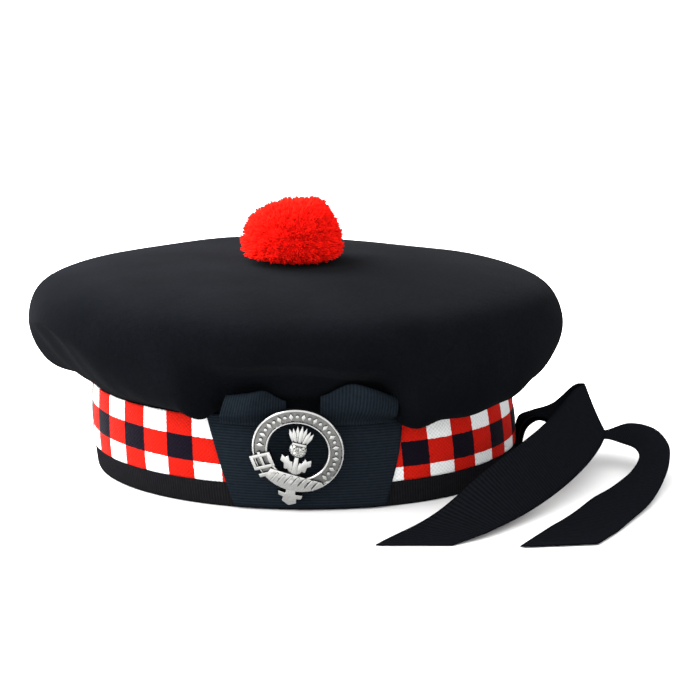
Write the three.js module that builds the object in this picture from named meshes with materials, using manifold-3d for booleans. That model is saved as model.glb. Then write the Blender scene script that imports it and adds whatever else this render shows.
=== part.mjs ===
// Balmoral bonnet: a felted wool body with a wide soft crown, a diced band, a bound rim, a ribbon
// cockade with a cast badge, a red wool toorie and two ribbon tails at the nape.
// Millimetres, +Z up. The origin is the middle of the head opening, on the surface the rim rests on.
// -X is the wearer's face, +X the nape, and -Y the wearer's left, where the cockade sits.

import * as THREE from "three";
import { mergeVertices } from "three/addons/utils/BufferGeometryUtils.js";
import Module from "manifold-3d";

const wasm = await Module();
wasm.setup();

const { clamp, degToRad, lerp, radToDeg, smoothstep } = THREE.MathUtils;

// Driving dimensions
const HEAD_LENGTH = 194; // the even opening inside the binding, for a 57 cm head
const HEAD_WIDTH = 168;
const GAP = 0.3; // between pieces that lie on each other
const FELT = 2.2;
const DICING = 1.2;
const RIBBON = 1;
const BINDING_HEIGHT = 11.5;
const BAND_TOP = 41.5;
const BAND_BULGE = 1.2; // how far the band swells at half its height
const BAND_TAPER = 1.2; // how far its top draws in
const BAND_LEAN = 3; // how far its top is carried towards the face
const NAPE_DRAW = 3; // how far the tails' seam draws it in at the nape
const CROWN_LENGTH = 255.5;
const CROWN_WIDTH = 232;
const EQUATOR = 65; // height where the crown is widest
const SEGMENTS = 64; // facets round the bonnet

// Soft set of the crown
const CROWN_SHIFT = 4.3; // towards the face
const FACE_LIFT = 2.5; // how much higher the crown is carried there
const FACE_NARROW = 0.16; // share of its width that it loses there
const EDGE_WAVE = 1.2; // how far the edge wanders in and out
const EDGE_WAVES = 3; // times round
const EDGE_WAVE_TURN = degToRad(34);
const SAG_FULL = 50; // below this height the edge sags in full
const SAG_END = 78; // above this one not at all
const PRESS_MIDDLE = degToRad(-89); // where the cockade presses the crown
const PRESS_ANGLE = degToRad(30); // how far round it does
const PRESS_SHARP = 5; // how suddenly that ends
const TOP_FROM = 85; // height where the top begins to hump and dimple
const TOP_FULL = 95;
const TOP_HUMP_RADIUS = 24;
const TOORIE_DIMPLE = 1;

// Cockade
const TAIL_TOP = { height: 43, left: -44, right: 47.5 };
const TAIL_FOOT = { height: 1.4, left: -33.2, right: 36.2 };
const TAIL_BOW = 2.2; // how far its edge towards the nape bows out
const LOOP_FOOT = 39.5; // height of the loops' lower folds
const LOOP_LEAN = degToRad(33);
const LOOP_ARCH = 0.36; // share of a loop's depth that its rounded free end loses
const LOOP_INNER = 0.62; // share of it that is left under the badge
const LOOP_MIDDLE = 0.45; // share of its length, from the badge, where it is deepest
const LOOP_PINCH = 0.35; // share of a loop's lean and fullness that is left under the badge
const LOOP_FREE = 0.65; // share of its length, from the badge, after which it is full
const LOOP_FOLD = 0.2; // share of its fullness that is left at its lower fold
const LOOP_SWELL = 0.6; // share of its depth, from the fold, after which it is full

// Badge
const STRAP_OUTER = 20;
const STRAP_INNER = 13.3;
const STRAP_MIDDLE = (STRAP_OUTER + STRAP_INNER) / 2;
const STRAP_THICKNESS = 1.8;
const STRAP_EDGE = 1.1; // width of its raised edges
const BADGE_RELIEF = 2.6;
const BADGE_CENTRE = { along: -1.7, height: 30.8 };
const BADGE_NARROW = 0.94; // makes up for the width that the band's curve would add
const BADGE_LEAN = degToRad(11); // its top stands out on the loops
const BADGE_TILT = degToRad(14); // its top turned towards the nape
const BADGE_TIP = 27.5; // from the middle of the ring to the strap's tip
const PELLETS = { count: 18, foot: 1.1, top: 0.6, height: 1.2, sides: 5 };
const BUCKLE_TURN = degToRad(203);
const BUCKLE = { width: 9.6, length: 7.2, bar: 1.7, thickness: 3.4 };
const PRONG = { width: 1.3, length: 8, thickness: 1.2, along: -0.6 };
const KEEPER = { width: 8, length: 1.8, thickness: 3, along: 6.5 };
const STRAP_END = { from: -128, to: -44, reach: 19.6, thickness: 3, steps: 8 }; // degrees round the ring
const STEM_THICKNESS = 2.2;
const LEAF_THICKNESS = 1.7;
const THISTLE_HEAD = { radius: 3.7, squat: 0.8 };
const COLLAR = { width: 6.2, length: 1.3, thickness: 3.1, up: 3.5 };

// Toorie
const TOORIE_CENTRE = new THREE.Vector3(-8, 0, 103);
const TOORIE_RADIUS = 25;
const TOORIE_ABOVE = 23.3; // from its widest part to its top
const TOORIE_BELOW = 4.8; // and to its flat foot
const TOORIE_UNDER = 12; // depth at which its sides would close below
const TOORIE_SQUARE = 3.5; // how full its shoulders are, 2 for an even ball
const TOORIE_SQUARER = 0.7; // how much fuller they are towards the nape
const TOORIE_SLANT = 0.2; // share of its reach towards the nape that its top loses
const TOORIE_TILT = 0.06; // share of its height that it gains there
const LOCKS = 40;
const LOCK_RADIUS = 6;

// Ribbon tails
const TAIL_STEPS = 42;
const TAIL_STRIPS = 2;

// Mean radii of the opening, of the headband's layers and of the crown, and what their ovals add and lose
const HEAD_RADIUS = (HEAD_LENGTH + HEAD_WIDTH) / 4;
const HEAD_OVAL = (HEAD_LENGTH - HEAD_WIDTH) / 4;
const CROWN_RADIUS = (CROWN_LENGTH + CROWN_WIDTH) / 4;
const CROWN_OVAL = (CROWN_LENGTH - CROWN_WIDTH) / 4;
const BAND_MIDDLE = BAND_TOP / 2;
const FELT_OUTER = HEAD_RADIUS + RIBBON + GAP + FELT;
const BAND_OUTER = FELT_OUTER + GAP + DICING;
const BINDING_OUTER = FELT_OUTER + GAP + RIBBON;

// Outer profile of the felt body, from its lower edge to the middle of the crown
const CROWN_PROFILE = [
  { radius: FELT_OUTER, height: RIBBON + GAP },
  { radius: FELT_OUTER, height: BAND_MIDDLE },
  { radius: FELT_OUTER, height: BAND_TOP },
  { radius: FELT_OUTER + 2, height: 43.4 },
  { radius: FELT_OUTER + 8.5, height: 44.2 },
  { radius: FELT_OUTER + 15.5, height: 46 },
  { radius: FELT_OUTER + 21.5, height: 50 },
  { radius: CROWN_RADIUS - 2, height: 57 },
  { radius: CROWN_RADIUS, height: EQUATOR },
  { radius: CROWN_RADIUS - 0.6, height: 73 },
  { radius: CROWN_RADIUS - 3.6, height: 82 },
  { radius: CROWN_RADIUS - 12, height: 88.8 },
  { radius: 90, height: 92.2 },
  { radius: 60, height: 95.8 },
  { radius: 28, height: 97.4 },
  { radius: 0, height: 97.8 },
];

// How far the cockade pushes the crown in and lifts it, by height on the even crown
const PRESS = [
  { height: 42, inward: 0, lift: 0 },
  { height: 44.2, inward: 4, lift: 8 },
  { height: 46, inward: 8.5, lift: 13 },
  { height: 50, inward: 11, lift: 14 },
  { height: 57, inward: 9, lift: 11 },
  { height: EQUATOR, inward: 5, lift: 6 },
  { height: 73, inward: 2, lift: 2 },
  { height: 84, inward: 0, lift: 0 },
];

// How far the crown's lower edge rises or sags, by the angle round from the nape
const EDGE_SET = [
  { angle: -180, rise: -1 },
  { angle: -166, rise: 12 },
  { angle: -156, rise: 15 },
  { angle: -146, rise: 11 },
  { angle: -134, rise: 5 },
  { angle: -122, rise: -2 },
  { angle: -90, rise: 0 },
  { angle: -68, rise: -1 },
  { angle: -58, rise: -8 },
  { angle: -47, rise: -8 },
  { angle: -36, rise: -5 },
  { angle: -22, rise: 0.5 },
  { angle: -8, rise: 4 },
  { angle: 20, rise: -1 },
  { angle: 70, rise: -4 },
  { angle: 130, rise: -1 },
  { angle: 180, rise: -1 },
];

// Where the top humps beside the toorie, from its middle towards the nape, and how high
const TOP_HUMPS = [
  { behind: 40, rise: 0.8 },
  { behind: -36, rise: 1.2 },
];

// The two loops: ends along the band, which end is free, depth from lower fold to top, and fullness
const LOOPS = {
  front: { from: -36.5, to: -6, outer: -1, depth: 21.5, fullness: 4.2 },
  back: { from: 8.5, to: 40.5, outer: 1, depth: 24, fullness: 4.2 },
};

// Outlines on the badge, from the middle of its ring: halves on one side, but for the leaf and the edge
// where the strap's end crosses the ring
const TIP_HALF = [
  { across: 2.2, up: -STRAP_INNER - 1 },
  { across: 2.2, up: -21.5 },
  { across: 5.6, up: -21 },
  { across: 5.2, up: -23.2 },
  { across: 3, up: -23.6 },
  { across: 3.4, up: -25.6 },
  { across: 0, up: -BADGE_TIP },
];
const STEM_HALF = [
  { across: 1.5, up: -STRAP_INNER - 0.5 },
  { across: 0.9, up: -3 },
];
const TUFT_HALF = [
  { across: 2.8, up: 3.6 },
  { across: 5.2, up: 9.6 },
  { across: 3.4, up: 9 },
  { across: 2.8, up: 11.4 },
  { across: 1.4, up: 10 },
  { across: 0.6, up: STRAP_INNER - 0.3 },
];
const LEAF = [
  { across: 0, up: -12.6 },
  { across: 2.2, up: -12 },
  { across: 3.2, up: -9.8 },
  { across: 4.8, up: -10 },
  { across: 5.2, up: -7.2 },
  { across: 6.9, up: -6.2 },
  { across: 6.5, up: -3 },
  { across: 4.8, up: -4.4 },
  { across: 3.7, up: -2.8 },
  { across: 2.7, up: -5.6 },
  { across: 1.4, up: -5.6 },
  { across: 1, up: -8.2 },
  { across: 0, up: -9 },
];
const STRAP_END_EDGE = [
  { across: -10.4, up: -10.8 },
  { across: -4, up: -11.3 },
  { across: 4, up: -11.8 },
  { across: 12.6, up: -12.3 },
];

// Ribbon tails from the seam at the nape to the cut end: the middle of the ribbon, where its width
// points in plan, how steeply it slopes, and how far apart its edges are
const NEAR_TAIL = [
  { x: 98.9, y: 0, z: 5, heading: -90, tilt: 0, span: 26 },
  { x: 99.1, y: 0, z: 13, heading: -90, tilt: 0, span: 26 },
  { x: 101.2, y: 0, z: 19.6, heading: -90, tilt: 5, span: 26 },
  { x: 107, y: 0, z: 22.8, heading: -90, tilt: 8, span: 26 },
  { x: 117, y: 0, z: 23, heading: -90, tilt: -6, span: 26 },
  { x: 127.5, y: 1, z: 26, heading: -88, tilt: -36, span: 26 },
  { x: 134.8, y: -5.2, z: 27, heading: -20, tilt: -68, span: 23 },
  { x: 132.5, y: -17, z: 27.4, heading: -12, tilt: -56, span: 26 },
  { x: 125.2, y: -38, z: 24.2, heading: -22, tilt: -44, span: 27 },
  { x: 115.4, y: -61.5, z: 21, heading: -25, tilt: -47, span: 27.5 },
  { x: 102.2, y: -83.5, z: 16.8, heading: -30, tilt: -46, span: 27.5 },
  { x: 86.5, y: -104.5, z: 12, heading: -34, tilt: -37, span: 26.5 },
  { x: 67.5, y: -125, z: 4.8, heading: -30, tilt: -12, span: 25.5 },
  { x: 46.5, y: -143.5, z: 0.3, heading: 0, tilt: 0, span: 33 },
];
const FAR_TAIL = [
  { x: 100.4, y: 0, z: 5, heading: -90, tilt: 0, span: 26 },
  { x: 100.6, y: 0, z: 11.5, heading: -90, tilt: 0, span: 26 },
  { x: 103.1, y: 0, z: 17.9, heading: -90, tilt: 5, span: 26 },
  { x: 108.8, y: 0, z: 20.9, heading: -89, tilt: 8, span: 26 },
  { x: 119, y: 0, z: 18.6, heading: -87, tilt: -4, span: 26 },
  { x: 131, y: -1, z: 13.5, heading: -87, tilt: 0, span: 25 },
  { x: 141.5, y: -2, z: 12.6, heading: -89, tilt: 6, span: 25 },
  { x: 151, y: -3, z: 13.7, heading: -102, tilt: -8, span: 25 },
  { x: 159, y: -14, z: 14, heading: -116, tilt: -9, span: 25.5 },
  { x: 161.5, y: -32, z: 12.3, heading: -130, tilt: -5, span: 25 },
  { x: 158, y: -48, z: 8.8, heading: -152, tilt: -5, span: 22 },
  { x: 150.5, y: -64, z: 4.8, heading: -176, tilt: -2, span: 23 },
  { x: 141.5, y: -82, z: 2.8, heading: -196, tilt: 0, span: 26 },
  { x: 131.5, y: -102, z: 1.7, heading: -203, tilt: 0, span: 27 },
  { x: 120.5, y: -123, z: 1.4, heading: -194, tilt: 0, span: 29 },
  { x: 108.7, y: -144.5, z: 1.3, heading: -173, tilt: 0, span: 34 },
];

// Materials
function finish(color, roughness, metalness = 0) {
  return new THREE.MeshStandardMaterial({ color, roughness, metalness });
}
const FELT_WOOL = finish(0x26262b, 0.95);
const DICED_WOOL = finish(0xe23a22, 0.85);
const GROSGRAIN = finish(0x191d26, 0.6);
const TOORIE_WOOL = finish(0xe21208, 0.95);
const WHITE_METAL = finish(0xb9bbbd, 0.28, 1);

// Helpers
function reshape(geometry, place) {
  const { position } = geometry.attributes;
  const point = new THREE.Vector3();
  for (let i = 0; i < position.count; i += 1) {
    point.fromBufferAttribute(position, i);
    position.setXYZ(i, ...place(point).toArray());
  }
  return geometry;
}

// Joins the vertices that share a place, and drops the triangles that this leaves with no area
function weld(geometry) {
  const plain = new THREE.BufferGeometry();
  plain.setAttribute("position", geometry.attributes.position);
  plain.setIndex(geometry.index);
  const welded = mergeVertices(plain, 1e-3);
  const { array } = welded.index;
  const kept = [];
  for (let i = 0; i < array.length; i += 3) {
    const [a, b, c] = array.slice(i, i + 3);
    if (a !== b && b !== c && c !== a) {
      kept.push(a, b, c);
    }
  }
  welded.setIndex(kept);
  return welded;
}

// Gives a shaped sheet its thickness: a second face set back along the normals, and closed free edges
function cloth(sheet, thickness) {
  const front = weld(sheet);
  front.computeVertexNormals();
  const { position, normal } = front.attributes;
  const { count } = position;
  const points = [];
  for (const depth of [0, thickness]) {
    for (let i = 0; i < count; i += 1) {
      const inward = new THREE.Vector3().fromBufferAttribute(normal, i).multiplyScalar(-depth);
      const point = new THREE.Vector3().fromBufferAttribute(position, i).add(inward);
      points.push(point.x, point.y, point.z);
    }
  }
  const edges = new Map();
  const triangles = [];
  for (let i = 0; i < front.index.count; i += 3) {
    const [a, b, c] = front.index.array.slice(i, i + 3);
    triangles.push(a, b, c, c + count, b + count, a + count);
    for (const [from, to] of [[a, b], [b, c], [c, a]]) {
      edges.set(`${from}-${to}`, { from, to });
    }
  }
  for (const { from, to } of edges.values()) {
    if (!edges.has(`${to}-${from}`)) {
      triangles.push(to, from, from + count, to, from + count, to + count);
    }
  }
  const shell = new THREE.BufferGeometry();
  shell.setAttribute("position", new THREE.Float32BufferAttribute(points, 3));
  shell.setIndex(triangles);
  return shell;
}

function toSolid(geometry) {
  const welded = weld(geometry);
  const mesh = new wasm.Mesh({
    numProp: 3,
    vertProperties: new Float32Array(welded.attributes.position.array),
    triVerts: new Uint32Array(welded.index.array),
  });
  return new wasm.Manifold(mesh);
}

function fromSolid(solid) {
  const { vertProperties, triVerts } = solid.getMesh();
  const geometry = new THREE.BufferGeometry();
  geometry.setAttribute("position", new THREE.BufferAttribute(vertProperties, 3));
  geometry.setIndex(new THREE.BufferAttribute(triVerts, 1));
  return geometry;
}

function fuse(geometries) {
  return fromSolid(geometries.map(toSolid).reduce((whole, solid) => whole.add(solid)));
}

function revolve(profile) {
  const outline = profile.map(({ radius, height }) => new THREE.Vector2(radius, height));
  return new THREE.LatheGeometry(outline, SEGMENTS).rotateX(Math.PI / 2);
}

function extrude(shape, depth) {
  return new THREE.ExtrudeGeometry(shape, { depth, bevelEnabled: false, curveSegments: 16 });
}

// Reads a column of a table smoothly between the rows whose key lies on each side of a value
function between(rows, key, value, column) {
  const above = rows.findIndex((row) => row[key] > value);
  if (above <= 0) {
    return rows.at(above)[column];
  }
  const low = rows[above - 1];
  const high = rows[above];
  return lerp(low[column], high[column], smoothstep(value, low[key], high[key]));
}

function napeDraw(angle) {
  return NAPE_DRAW * smoothstep(Math.cos(angle), 0.3, 1);
}

// Takes a point beside the even, round headband to where the soft, oval one has it
function ovalBand(radius, angle, height) {
  const share = clamp(height / BAND_TOP, 0, 1);
  const bulge = BAND_BULGE * (1 - Math.abs(2 * share - 1));
  const reach = radius + bulge - BAND_TAPER * share;
  const x = (reach + HEAD_OVAL) * Math.cos(angle) - BAND_LEAN * share - napeDraw(angle);
  const y = (reach - HEAD_OVAL) * Math.sin(angle);
  return new THREE.Vector3(x, y, height);
}

// A point in front of the cockade's stretch of band: distance along it, height, and how far out
function besideBand(along, height, out) {
  const angle = along / (BAND_OUTER + HEAD_OVAL) - Math.PI / 2;
  return ovalBand(BAND_OUTER + out, angle, height);
}

// Takes a point of the even, round crown to where the soft one has it: oval, carried towards the face,
// higher there and sagging elsewhere, wavy at its edge, pressed by the cockade, humped beside the toorie
function settle(point) {
  const angle = Math.atan2(point.y, point.x);
  const radius = Math.hypot(point.x, point.y);
  const height = point.z;
  if (height <= BAND_TOP) {
    return ovalBand(radius, angle, height);
  }
  const rise = smoothstep(height, BAND_TOP, EQUATOR);
  const overhang = smoothstep(radius, FELT_OUTER, CROWN_RADIUS);
  const oval = lerp(HEAD_OVAL / FELT_OUTER, CROWN_OVAL / CROWN_RADIUS, rise);
  const press = Math.exp(-((Math.abs(angle - PRESS_MIDDLE) / PRESS_ANGLE) ** PRESS_SHARP));
  const wave = EDGE_WAVE * overhang * Math.sin(EDGE_WAVES * angle + EDGE_WAVE_TURN);
  const taper = BAND_TAPER * (1 - rise);
  const reach = radius - taper + wave - press * between(PRESS, "height", height, "inward");
  const drawn = BAND_LEAN + CROWN_SHIFT * rise + napeDraw(angle) * (1 - rise);
  const x = reach * (1 + oval) * Math.cos(angle) - drawn;
  const face = (1 - Math.cos(angle)) / 2;
  const y = reach * (1 - oval) * Math.sin(angle) * (1 - FACE_NARROW * rise * face ** 4);
  const edge = overhang * (1 - smoothstep(height, SAG_FULL, SAG_END));
  const sag = edge * between(EDGE_SET, "angle", radToDeg(angle), "rise");
  const carried = FACE_LIFT * face * face * rise * smoothstep(radius, TOORIE_RADIUS, CROWN_RADIUS);
  const toorie = Math.hypot(x - TOORIE_CENTRE.x, y - TOORIE_CENTRE.y) / TOORIE_RADIUS;
  const humps = TOP_HUMPS.map((hump) => {
    const away = Math.hypot(x - TOORIE_CENTRE.x - hump.behind, y) / TOP_HUMP_RADIUS;
    return hump.rise * Math.exp(-away * away);
  });
  const top = humps[0] + humps[1] - TOORIE_DIMPLE * Math.exp(-toorie * toorie);
  const lift = press * between(PRESS, "height", height, "lift");
  const z = height + lift + sag + carried + top * smoothstep(height, TOP_FROM, TOP_FULL);
  return new THREE.Vector3(x, y, z);
}

// The felt body: one wall from the bound edge, up the headband and over the crown
function crown() {
  return cloth(reshape(revolve(CROWN_PROFILE), settle), FELT);
}

function dicedBand() {
  const heights = [BINDING_HEIGHT + GAP, BAND_MIDDLE, BAND_TOP];
  const profile = heights.map((height) => ({ radius: BAND_OUTER, height }));
  return cloth(reshape(revolve(profile), settle), DICING);
}

// The ribbon folded round the lower edge, from its inner leaf, under the felt, to its outer leaf
function rimBinding() {
  const profile = [
    { radius: HEAD_RADIUS, height: BINDING_HEIGHT },
    { radius: HEAD_RADIUS, height: RIBBON },
    { radius: HEAD_RADIUS + RIBBON, height: 0 },
    { radius: BINDING_OUTER - RIBBON, height: 0 },
    { radius: BINDING_OUTER, height: RIBBON },
    { radius: BINDING_OUTER, height: BINDING_HEIGHT },
  ];
  return cloth(reshape(revolve(profile), settle), RIBBON);
}

// The cockade's flat leaf, wider at its top, that lies on the band and the binding
function cockadeTails() {
  const leaf = new THREE.PlaneGeometry(1, 1, 14, 4);
  const place = ({ x, y }) => {
    const up = y + 0.5;
    const height = lerp(TAIL_FOOT.height, TAIL_TOP.height, up);
    const left = lerp(TAIL_FOOT.left, TAIL_TOP.left, up);
    const right = lerp(TAIL_FOOT.right, TAIL_TOP.right, up) + TAIL_BOW * up * Math.sin(Math.PI * up);
    return besideBand(lerp(left, right, x + 0.5), height, GAP + RIBBON);
  };
  return cloth(reshape(leaf, place), RIBBON);
}

// A puffed loop of ribbon: a sleeve, pinched at its lower fold and under the badge, that leans out
function cockadeLoop({ from, to, outer, depth, fullness }) {
  const sleeve = new THREE.CylinderGeometry(1, 1, 1, 16, 5, true);
  const place = ({ x, y, z }) => {
    const round = Math.atan2(x, z);
    const share = 0.5 + outer * y;
    const free = lerp(LOOP_PINCH, 1, smoothstep(share, 0, LOOP_FREE));
    const lean = LOOP_LEAN * free;
    const inner = lerp(LOOP_INNER, 1, smoothstep(share, 0, LOOP_MIDDLE));
    const tall = depth * (inner - LOOP_ARCH * smoothstep(share, LOOP_MIDDLE, 1.1));
    const up = (tall * (1 - Math.cos(round))) / 2;
    const pinch = lerp(LOOP_FOLD, 1, smoothstep(up, 0, LOOP_SWELL * tall));
    const out = fullness * free * pinch * Math.sin(round);
    const foot = GAP + RIBBON + GAP + LOOP_PINCH * fullness;
    const height = LOOP_FOOT + up * Math.cos(lean) - out * Math.sin(lean);
    const reach = foot + up * Math.sin(lean) + out * Math.cos(lean);
    return besideBand(lerp(from, to, y + 0.5), height, reach);
  };
  return cloth(reshape(sleeve, place), RIBBON);
}

// The badge, drawn flat and face up round the middle of its ring, then leaned, turned and laid on
function ringPlate(outer, inner, depth) {
  const shape = new THREE.Shape().absarc(0, 0, outer, 0, 2 * Math.PI);
  shape.holes.push(new THREE.Path().absarc(0, 0, inner, 0, 2 * Math.PI, true));
  return extrude(shape, depth);
}

function outlinePlate(rows, depth) {
  return extrude(new THREE.Shape(rows.map(({ across, up }) => new THREE.Vector2(across, up))), depth);
}

function mirrored(rows) {
  return rows.map(({ across, up }) => ({ across: -across, up })).reverse();
}

function bothHalves(half) {
  return [...half, ...mirrored(half.filter(({ across }) => across > 0))];
}

function bar({ width, length, thickness }) {
  return new THREE.BoxGeometry(width, length, thickness).translate(0, 0, thickness / 2);
}

function strap() {
  const { count, foot, top, height, sides } = PELLETS;
  const pellets = Array.from({ length: count }, (_, i) => {
    const angle = ((i + 0.5) / count) * 2 * Math.PI;
    const pellet = new THREE.CylinderGeometry(top, foot, height, sides).rotateX(Math.PI / 2);
    return pellet.translate(STRAP_MIDDLE * Math.cos(angle), STRAP_MIDDLE * Math.sin(angle), STRAP_THICKNESS);
  });
  return [
    ringPlate(STRAP_OUTER, STRAP_INNER, STRAP_THICKNESS),
    ringPlate(STRAP_OUTER, STRAP_OUTER - STRAP_EDGE, BADGE_RELIEF),
    ringPlate(STRAP_INNER + STRAP_EDGE, STRAP_INNER, BADGE_RELIEF),
    ...pellets,
  ];
}

function buckle() {
  const { width, length, thickness } = BUCKLE;
  const window = { width: width - 2 * BUCKLE.bar, length: length - 2 * BUCKLE.bar, thickness };
  const frame = fromSolid(toSolid(bar(BUCKLE)).subtract(toSolid(bar(window))));
  const prong = bar(PRONG).translate(0, PRONG.along, BADGE_RELIEF - PRONG.thickness / 2);
  const keeper = bar(KEEPER).translate(0, KEEPER.along, 0);
  return [frame, prong, keeper].map((part) => part.translate(STRAP_MIDDLE, 0, 0).rotateZ(BUCKLE_TURN));
}

// The strap's end, laid across the foot of the ring, and its trefoil tip
function strapEnd() {
  const { from, to, reach, thickness, steps } = STRAP_END;
  const arc = Array.from({ length: steps + 1 }, (_, i) => {
    const angle = degToRad(lerp(to, from, i / steps));
    return { across: reach * Math.cos(angle), up: reach * Math.sin(angle) };
  });
  return [
    outlinePlate([...STRAP_END_EDGE, ...arc], thickness),
    outlinePlate(bothHalves(TIP_HALF), BADGE_RELIEF),
  ];
}

// A thistle: stem, two lobed leaves, round head and flared tuft
function thistle() {
  const { radius, squat } = THISTLE_HEAD;
  const ball = new THREE.SphereGeometry(radius, 10, 6).rotateX(Math.PI / 2).scale(1, 1, squat);
  const wide = 4 * radius;
  const behind = bar({ width: wide, length: wide, thickness: wide }).translate(0, 0, -wide);
  return [
    outlinePlate(bothHalves(STEM_HALF), STEM_THICKNESS),
    outlinePlate(LEAF, LEAF_THICKNESS),
    outlinePlate(mirrored(LEAF), LEAF_THICKNESS),
    fromSolid(toSolid(ball).subtract(toSolid(behind))),
    bar(COLLAR).translate(0, COLLAR.up, 0),
    outlinePlate(bothHalves(TUFT_HALF), STEM_THICKNESS),
  ];
}

function badge() {
  const flat = fuse([...strap(), ...buckle(), ...strapEnd(), ...thistle()]);
  flat.rotateZ(-BADGE_TILT);
  const back = GAP + RIBBON + GAP;
  const place = ({ x, y, z }) => {
    const stand = y + BADGE_TIP;
    const out = back + stand * Math.sin(BADGE_LEAN) + z * Math.cos(BADGE_LEAN);
    const height = stand * Math.cos(BADGE_LEAN) - BADGE_TIP - z * Math.sin(BADGE_LEAN);
    return besideBand(BADGE_CENTRE.along + BADGE_NARROW * x, BADGE_CENTRE.height + height, out);
  };
  return reshape(flat, place);
}

// Where a ray from the middle of the pompom leaves its loaf shape, a little inside its skin
function loaf(way, inside) {
  const round = Math.hypot(way.x, way.y);
  const square = TOORIE_SQUARE + (TOORIE_SQUARER * way.x) / Math.max(round, 1e-6);
  const level = round / (TOORIE_RADIUS - inside);
  const upright = Math.abs(way.z) / ((way.z > 0 ? TOORIE_ABOVE : TOORIE_UNDER) - inside);
  const point = way.clone().divideScalar((level ** square + upright ** square) ** (1 / square));
  const rise = Math.max(point.z, 0) / TOORIE_ABOVE;
  point.z *= 1 + (TOORIE_TILT * point.x) / TOORIE_RADIUS;
  point.x -= TOORIE_SLANT * rise * Math.max(point.x, 0);
  return point;
}

// The pompom: locks of cut yarn, spread evenly on a loaf-shaped core, fused to it and cut level at the foot
function toorie() {
  const core = reshape(new THREE.IcosahedronGeometry(1, 2), (way) => loaf(way, LOCK_RADIUS / 2));
  const golden = Math.PI * (3 - Math.sqrt(5));
  const locks = Array.from({ length: LOCKS }, (_, i) => {
    const up = 1 - (2 * (i + 0.5)) / LOCKS;
    const way = new THREE.Vector3().setFromSphericalCoords(1, Math.PI / 2, golden * i);
    way.set(way.x * Math.sqrt(1 - up * up), way.z * Math.sqrt(1 - up * up), up);
    const lock = new THREE.IcosahedronGeometry(LOCK_RADIUS, 0).rotateX(i).rotateY(2 * i);
    return lock.translate(...loaf(way, LOCK_RADIUS).toArray());
  });
  const whole = toSolid(fuse([core, ...locks]));
  return fromSolid(whole.trimByPlane([0, 0, 1], -TOORIE_BELOW)).translate(...TOORIE_CENTRE.toArray());
}

// A ribbon tail: a strip between two edges that follow the table's rows
function ribbonTail(rows) {
  const edge = (side) => new THREE.CatmullRomCurve3(rows.map(({ x, y, z, heading, tilt, span }) => {
    const level = Math.cos(degToRad(tilt));
    const across = new THREE.Vector3(
      level * Math.cos(degToRad(heading)),
      level * Math.sin(degToRad(heading)),
      Math.sin(degToRad(tilt)),
    );
    return new THREE.Vector3(x, y, z).addScaledVector(across, side * span);
  }));
  const edges = [edge(-0.5), edge(0.5)];
  const strip = new THREE.PlaneGeometry(1, 1, TAIL_STRIPS, TAIL_STEPS);
  const place = ({ x, y }) => {
    const [from, to] = edges.map((curve) => curve.getPoint(y + 0.5));
    return from.lerp(to, x + 0.5);
  };
  return cloth(reshape(strip, place), RIBBON);
}

function piece(name, geometry, material) {
  const mesh = new THREE.Mesh(geometry, material);
  mesh.name = name;
  return mesh;
}

const bonnet = new THREE.Group();
bonnet.add(
  piece("crown", crown(), FELT_WOOL),
  piece("diced_band", dicedBand(), DICED_WOOL),
  piece("rim_binding", rimBinding(), GROSGRAIN),
  piece("cockade_tails", cockadeTails(), GROSGRAIN),
  piece("cockade_loop_front", cockadeLoop(LOOPS.front), GROSGRAIN),
  piece("cockade_loop_back", cockadeLoop(LOOPS.back), GROSGRAIN),
  piece("badge", badge(), WHITE_METAL),
  piece("toorie", toorie(), TOORIE_WOOL),
  piece("ribbon_tail_near", ribbonTail(NEAR_TAIL), GROSGRAIN),
  piece("ribbon_tail_far", ribbonTail(FAR_TAIL), GROSGRAIN),
);

export default bonnet;
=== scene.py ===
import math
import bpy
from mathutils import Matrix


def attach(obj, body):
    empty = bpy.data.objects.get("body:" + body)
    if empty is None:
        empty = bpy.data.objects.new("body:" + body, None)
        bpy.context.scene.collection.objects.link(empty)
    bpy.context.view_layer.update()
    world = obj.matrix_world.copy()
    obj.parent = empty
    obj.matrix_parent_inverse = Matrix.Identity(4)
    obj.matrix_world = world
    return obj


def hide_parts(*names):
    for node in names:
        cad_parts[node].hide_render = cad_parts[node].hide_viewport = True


bl_info = {
    "name": "Balmoral Bonnet",
    "version": (1, 0, 0),
    "blender": (4, 5, 0),
    "location": "3D View > Sidebar > Bonnet",
    "description": "Models a felted wool bonnet with its dicing, cockade, badge, toorie and ribbon tails",
    "category": "Object",
}

from collections import namedtuple

import bpy
import numpy as np
from bpy.props import FloatProperty, FloatVectorProperty, IntProperty, PointerProperty
from bpy.types import NodeSocket, Operator, Panel, PropertyGroup
from mathutils import Matrix, Vector, noise

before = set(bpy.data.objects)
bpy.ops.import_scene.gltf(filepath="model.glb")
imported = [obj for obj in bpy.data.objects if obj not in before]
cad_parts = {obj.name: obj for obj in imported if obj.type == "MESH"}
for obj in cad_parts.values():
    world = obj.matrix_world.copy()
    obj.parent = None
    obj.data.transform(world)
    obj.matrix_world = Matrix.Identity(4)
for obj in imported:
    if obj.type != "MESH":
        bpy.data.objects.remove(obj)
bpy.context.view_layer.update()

# Tables and fixed sizes are in millimetres; MM takes them to metres
MM = 0.001
GAP = 0.3  # between pieces that lie on each other
FELT = 2.2
DICING = 1.2
RIBBON = 1.0  # room that a ribbon is given in the layers
RIBBON_THICKNESS = 0.6
GROSGRAIN_RIB = 1.3  # from rib to rib, drawn coarser than on real ribbon so that it shows
BAND_FOOT = 11.5  # top of the binding
BAND_TOP = 41.5
BAND_BULGE = 1.2
BAND_TAPER = 1.2
BAND_LEAN = 3.0
NAPE_DRAW = 3.0  # how far the band is drawn in at the nape
NAPE_WIDE = 0.3  # cosine of the angle at which that draw starts

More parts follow.
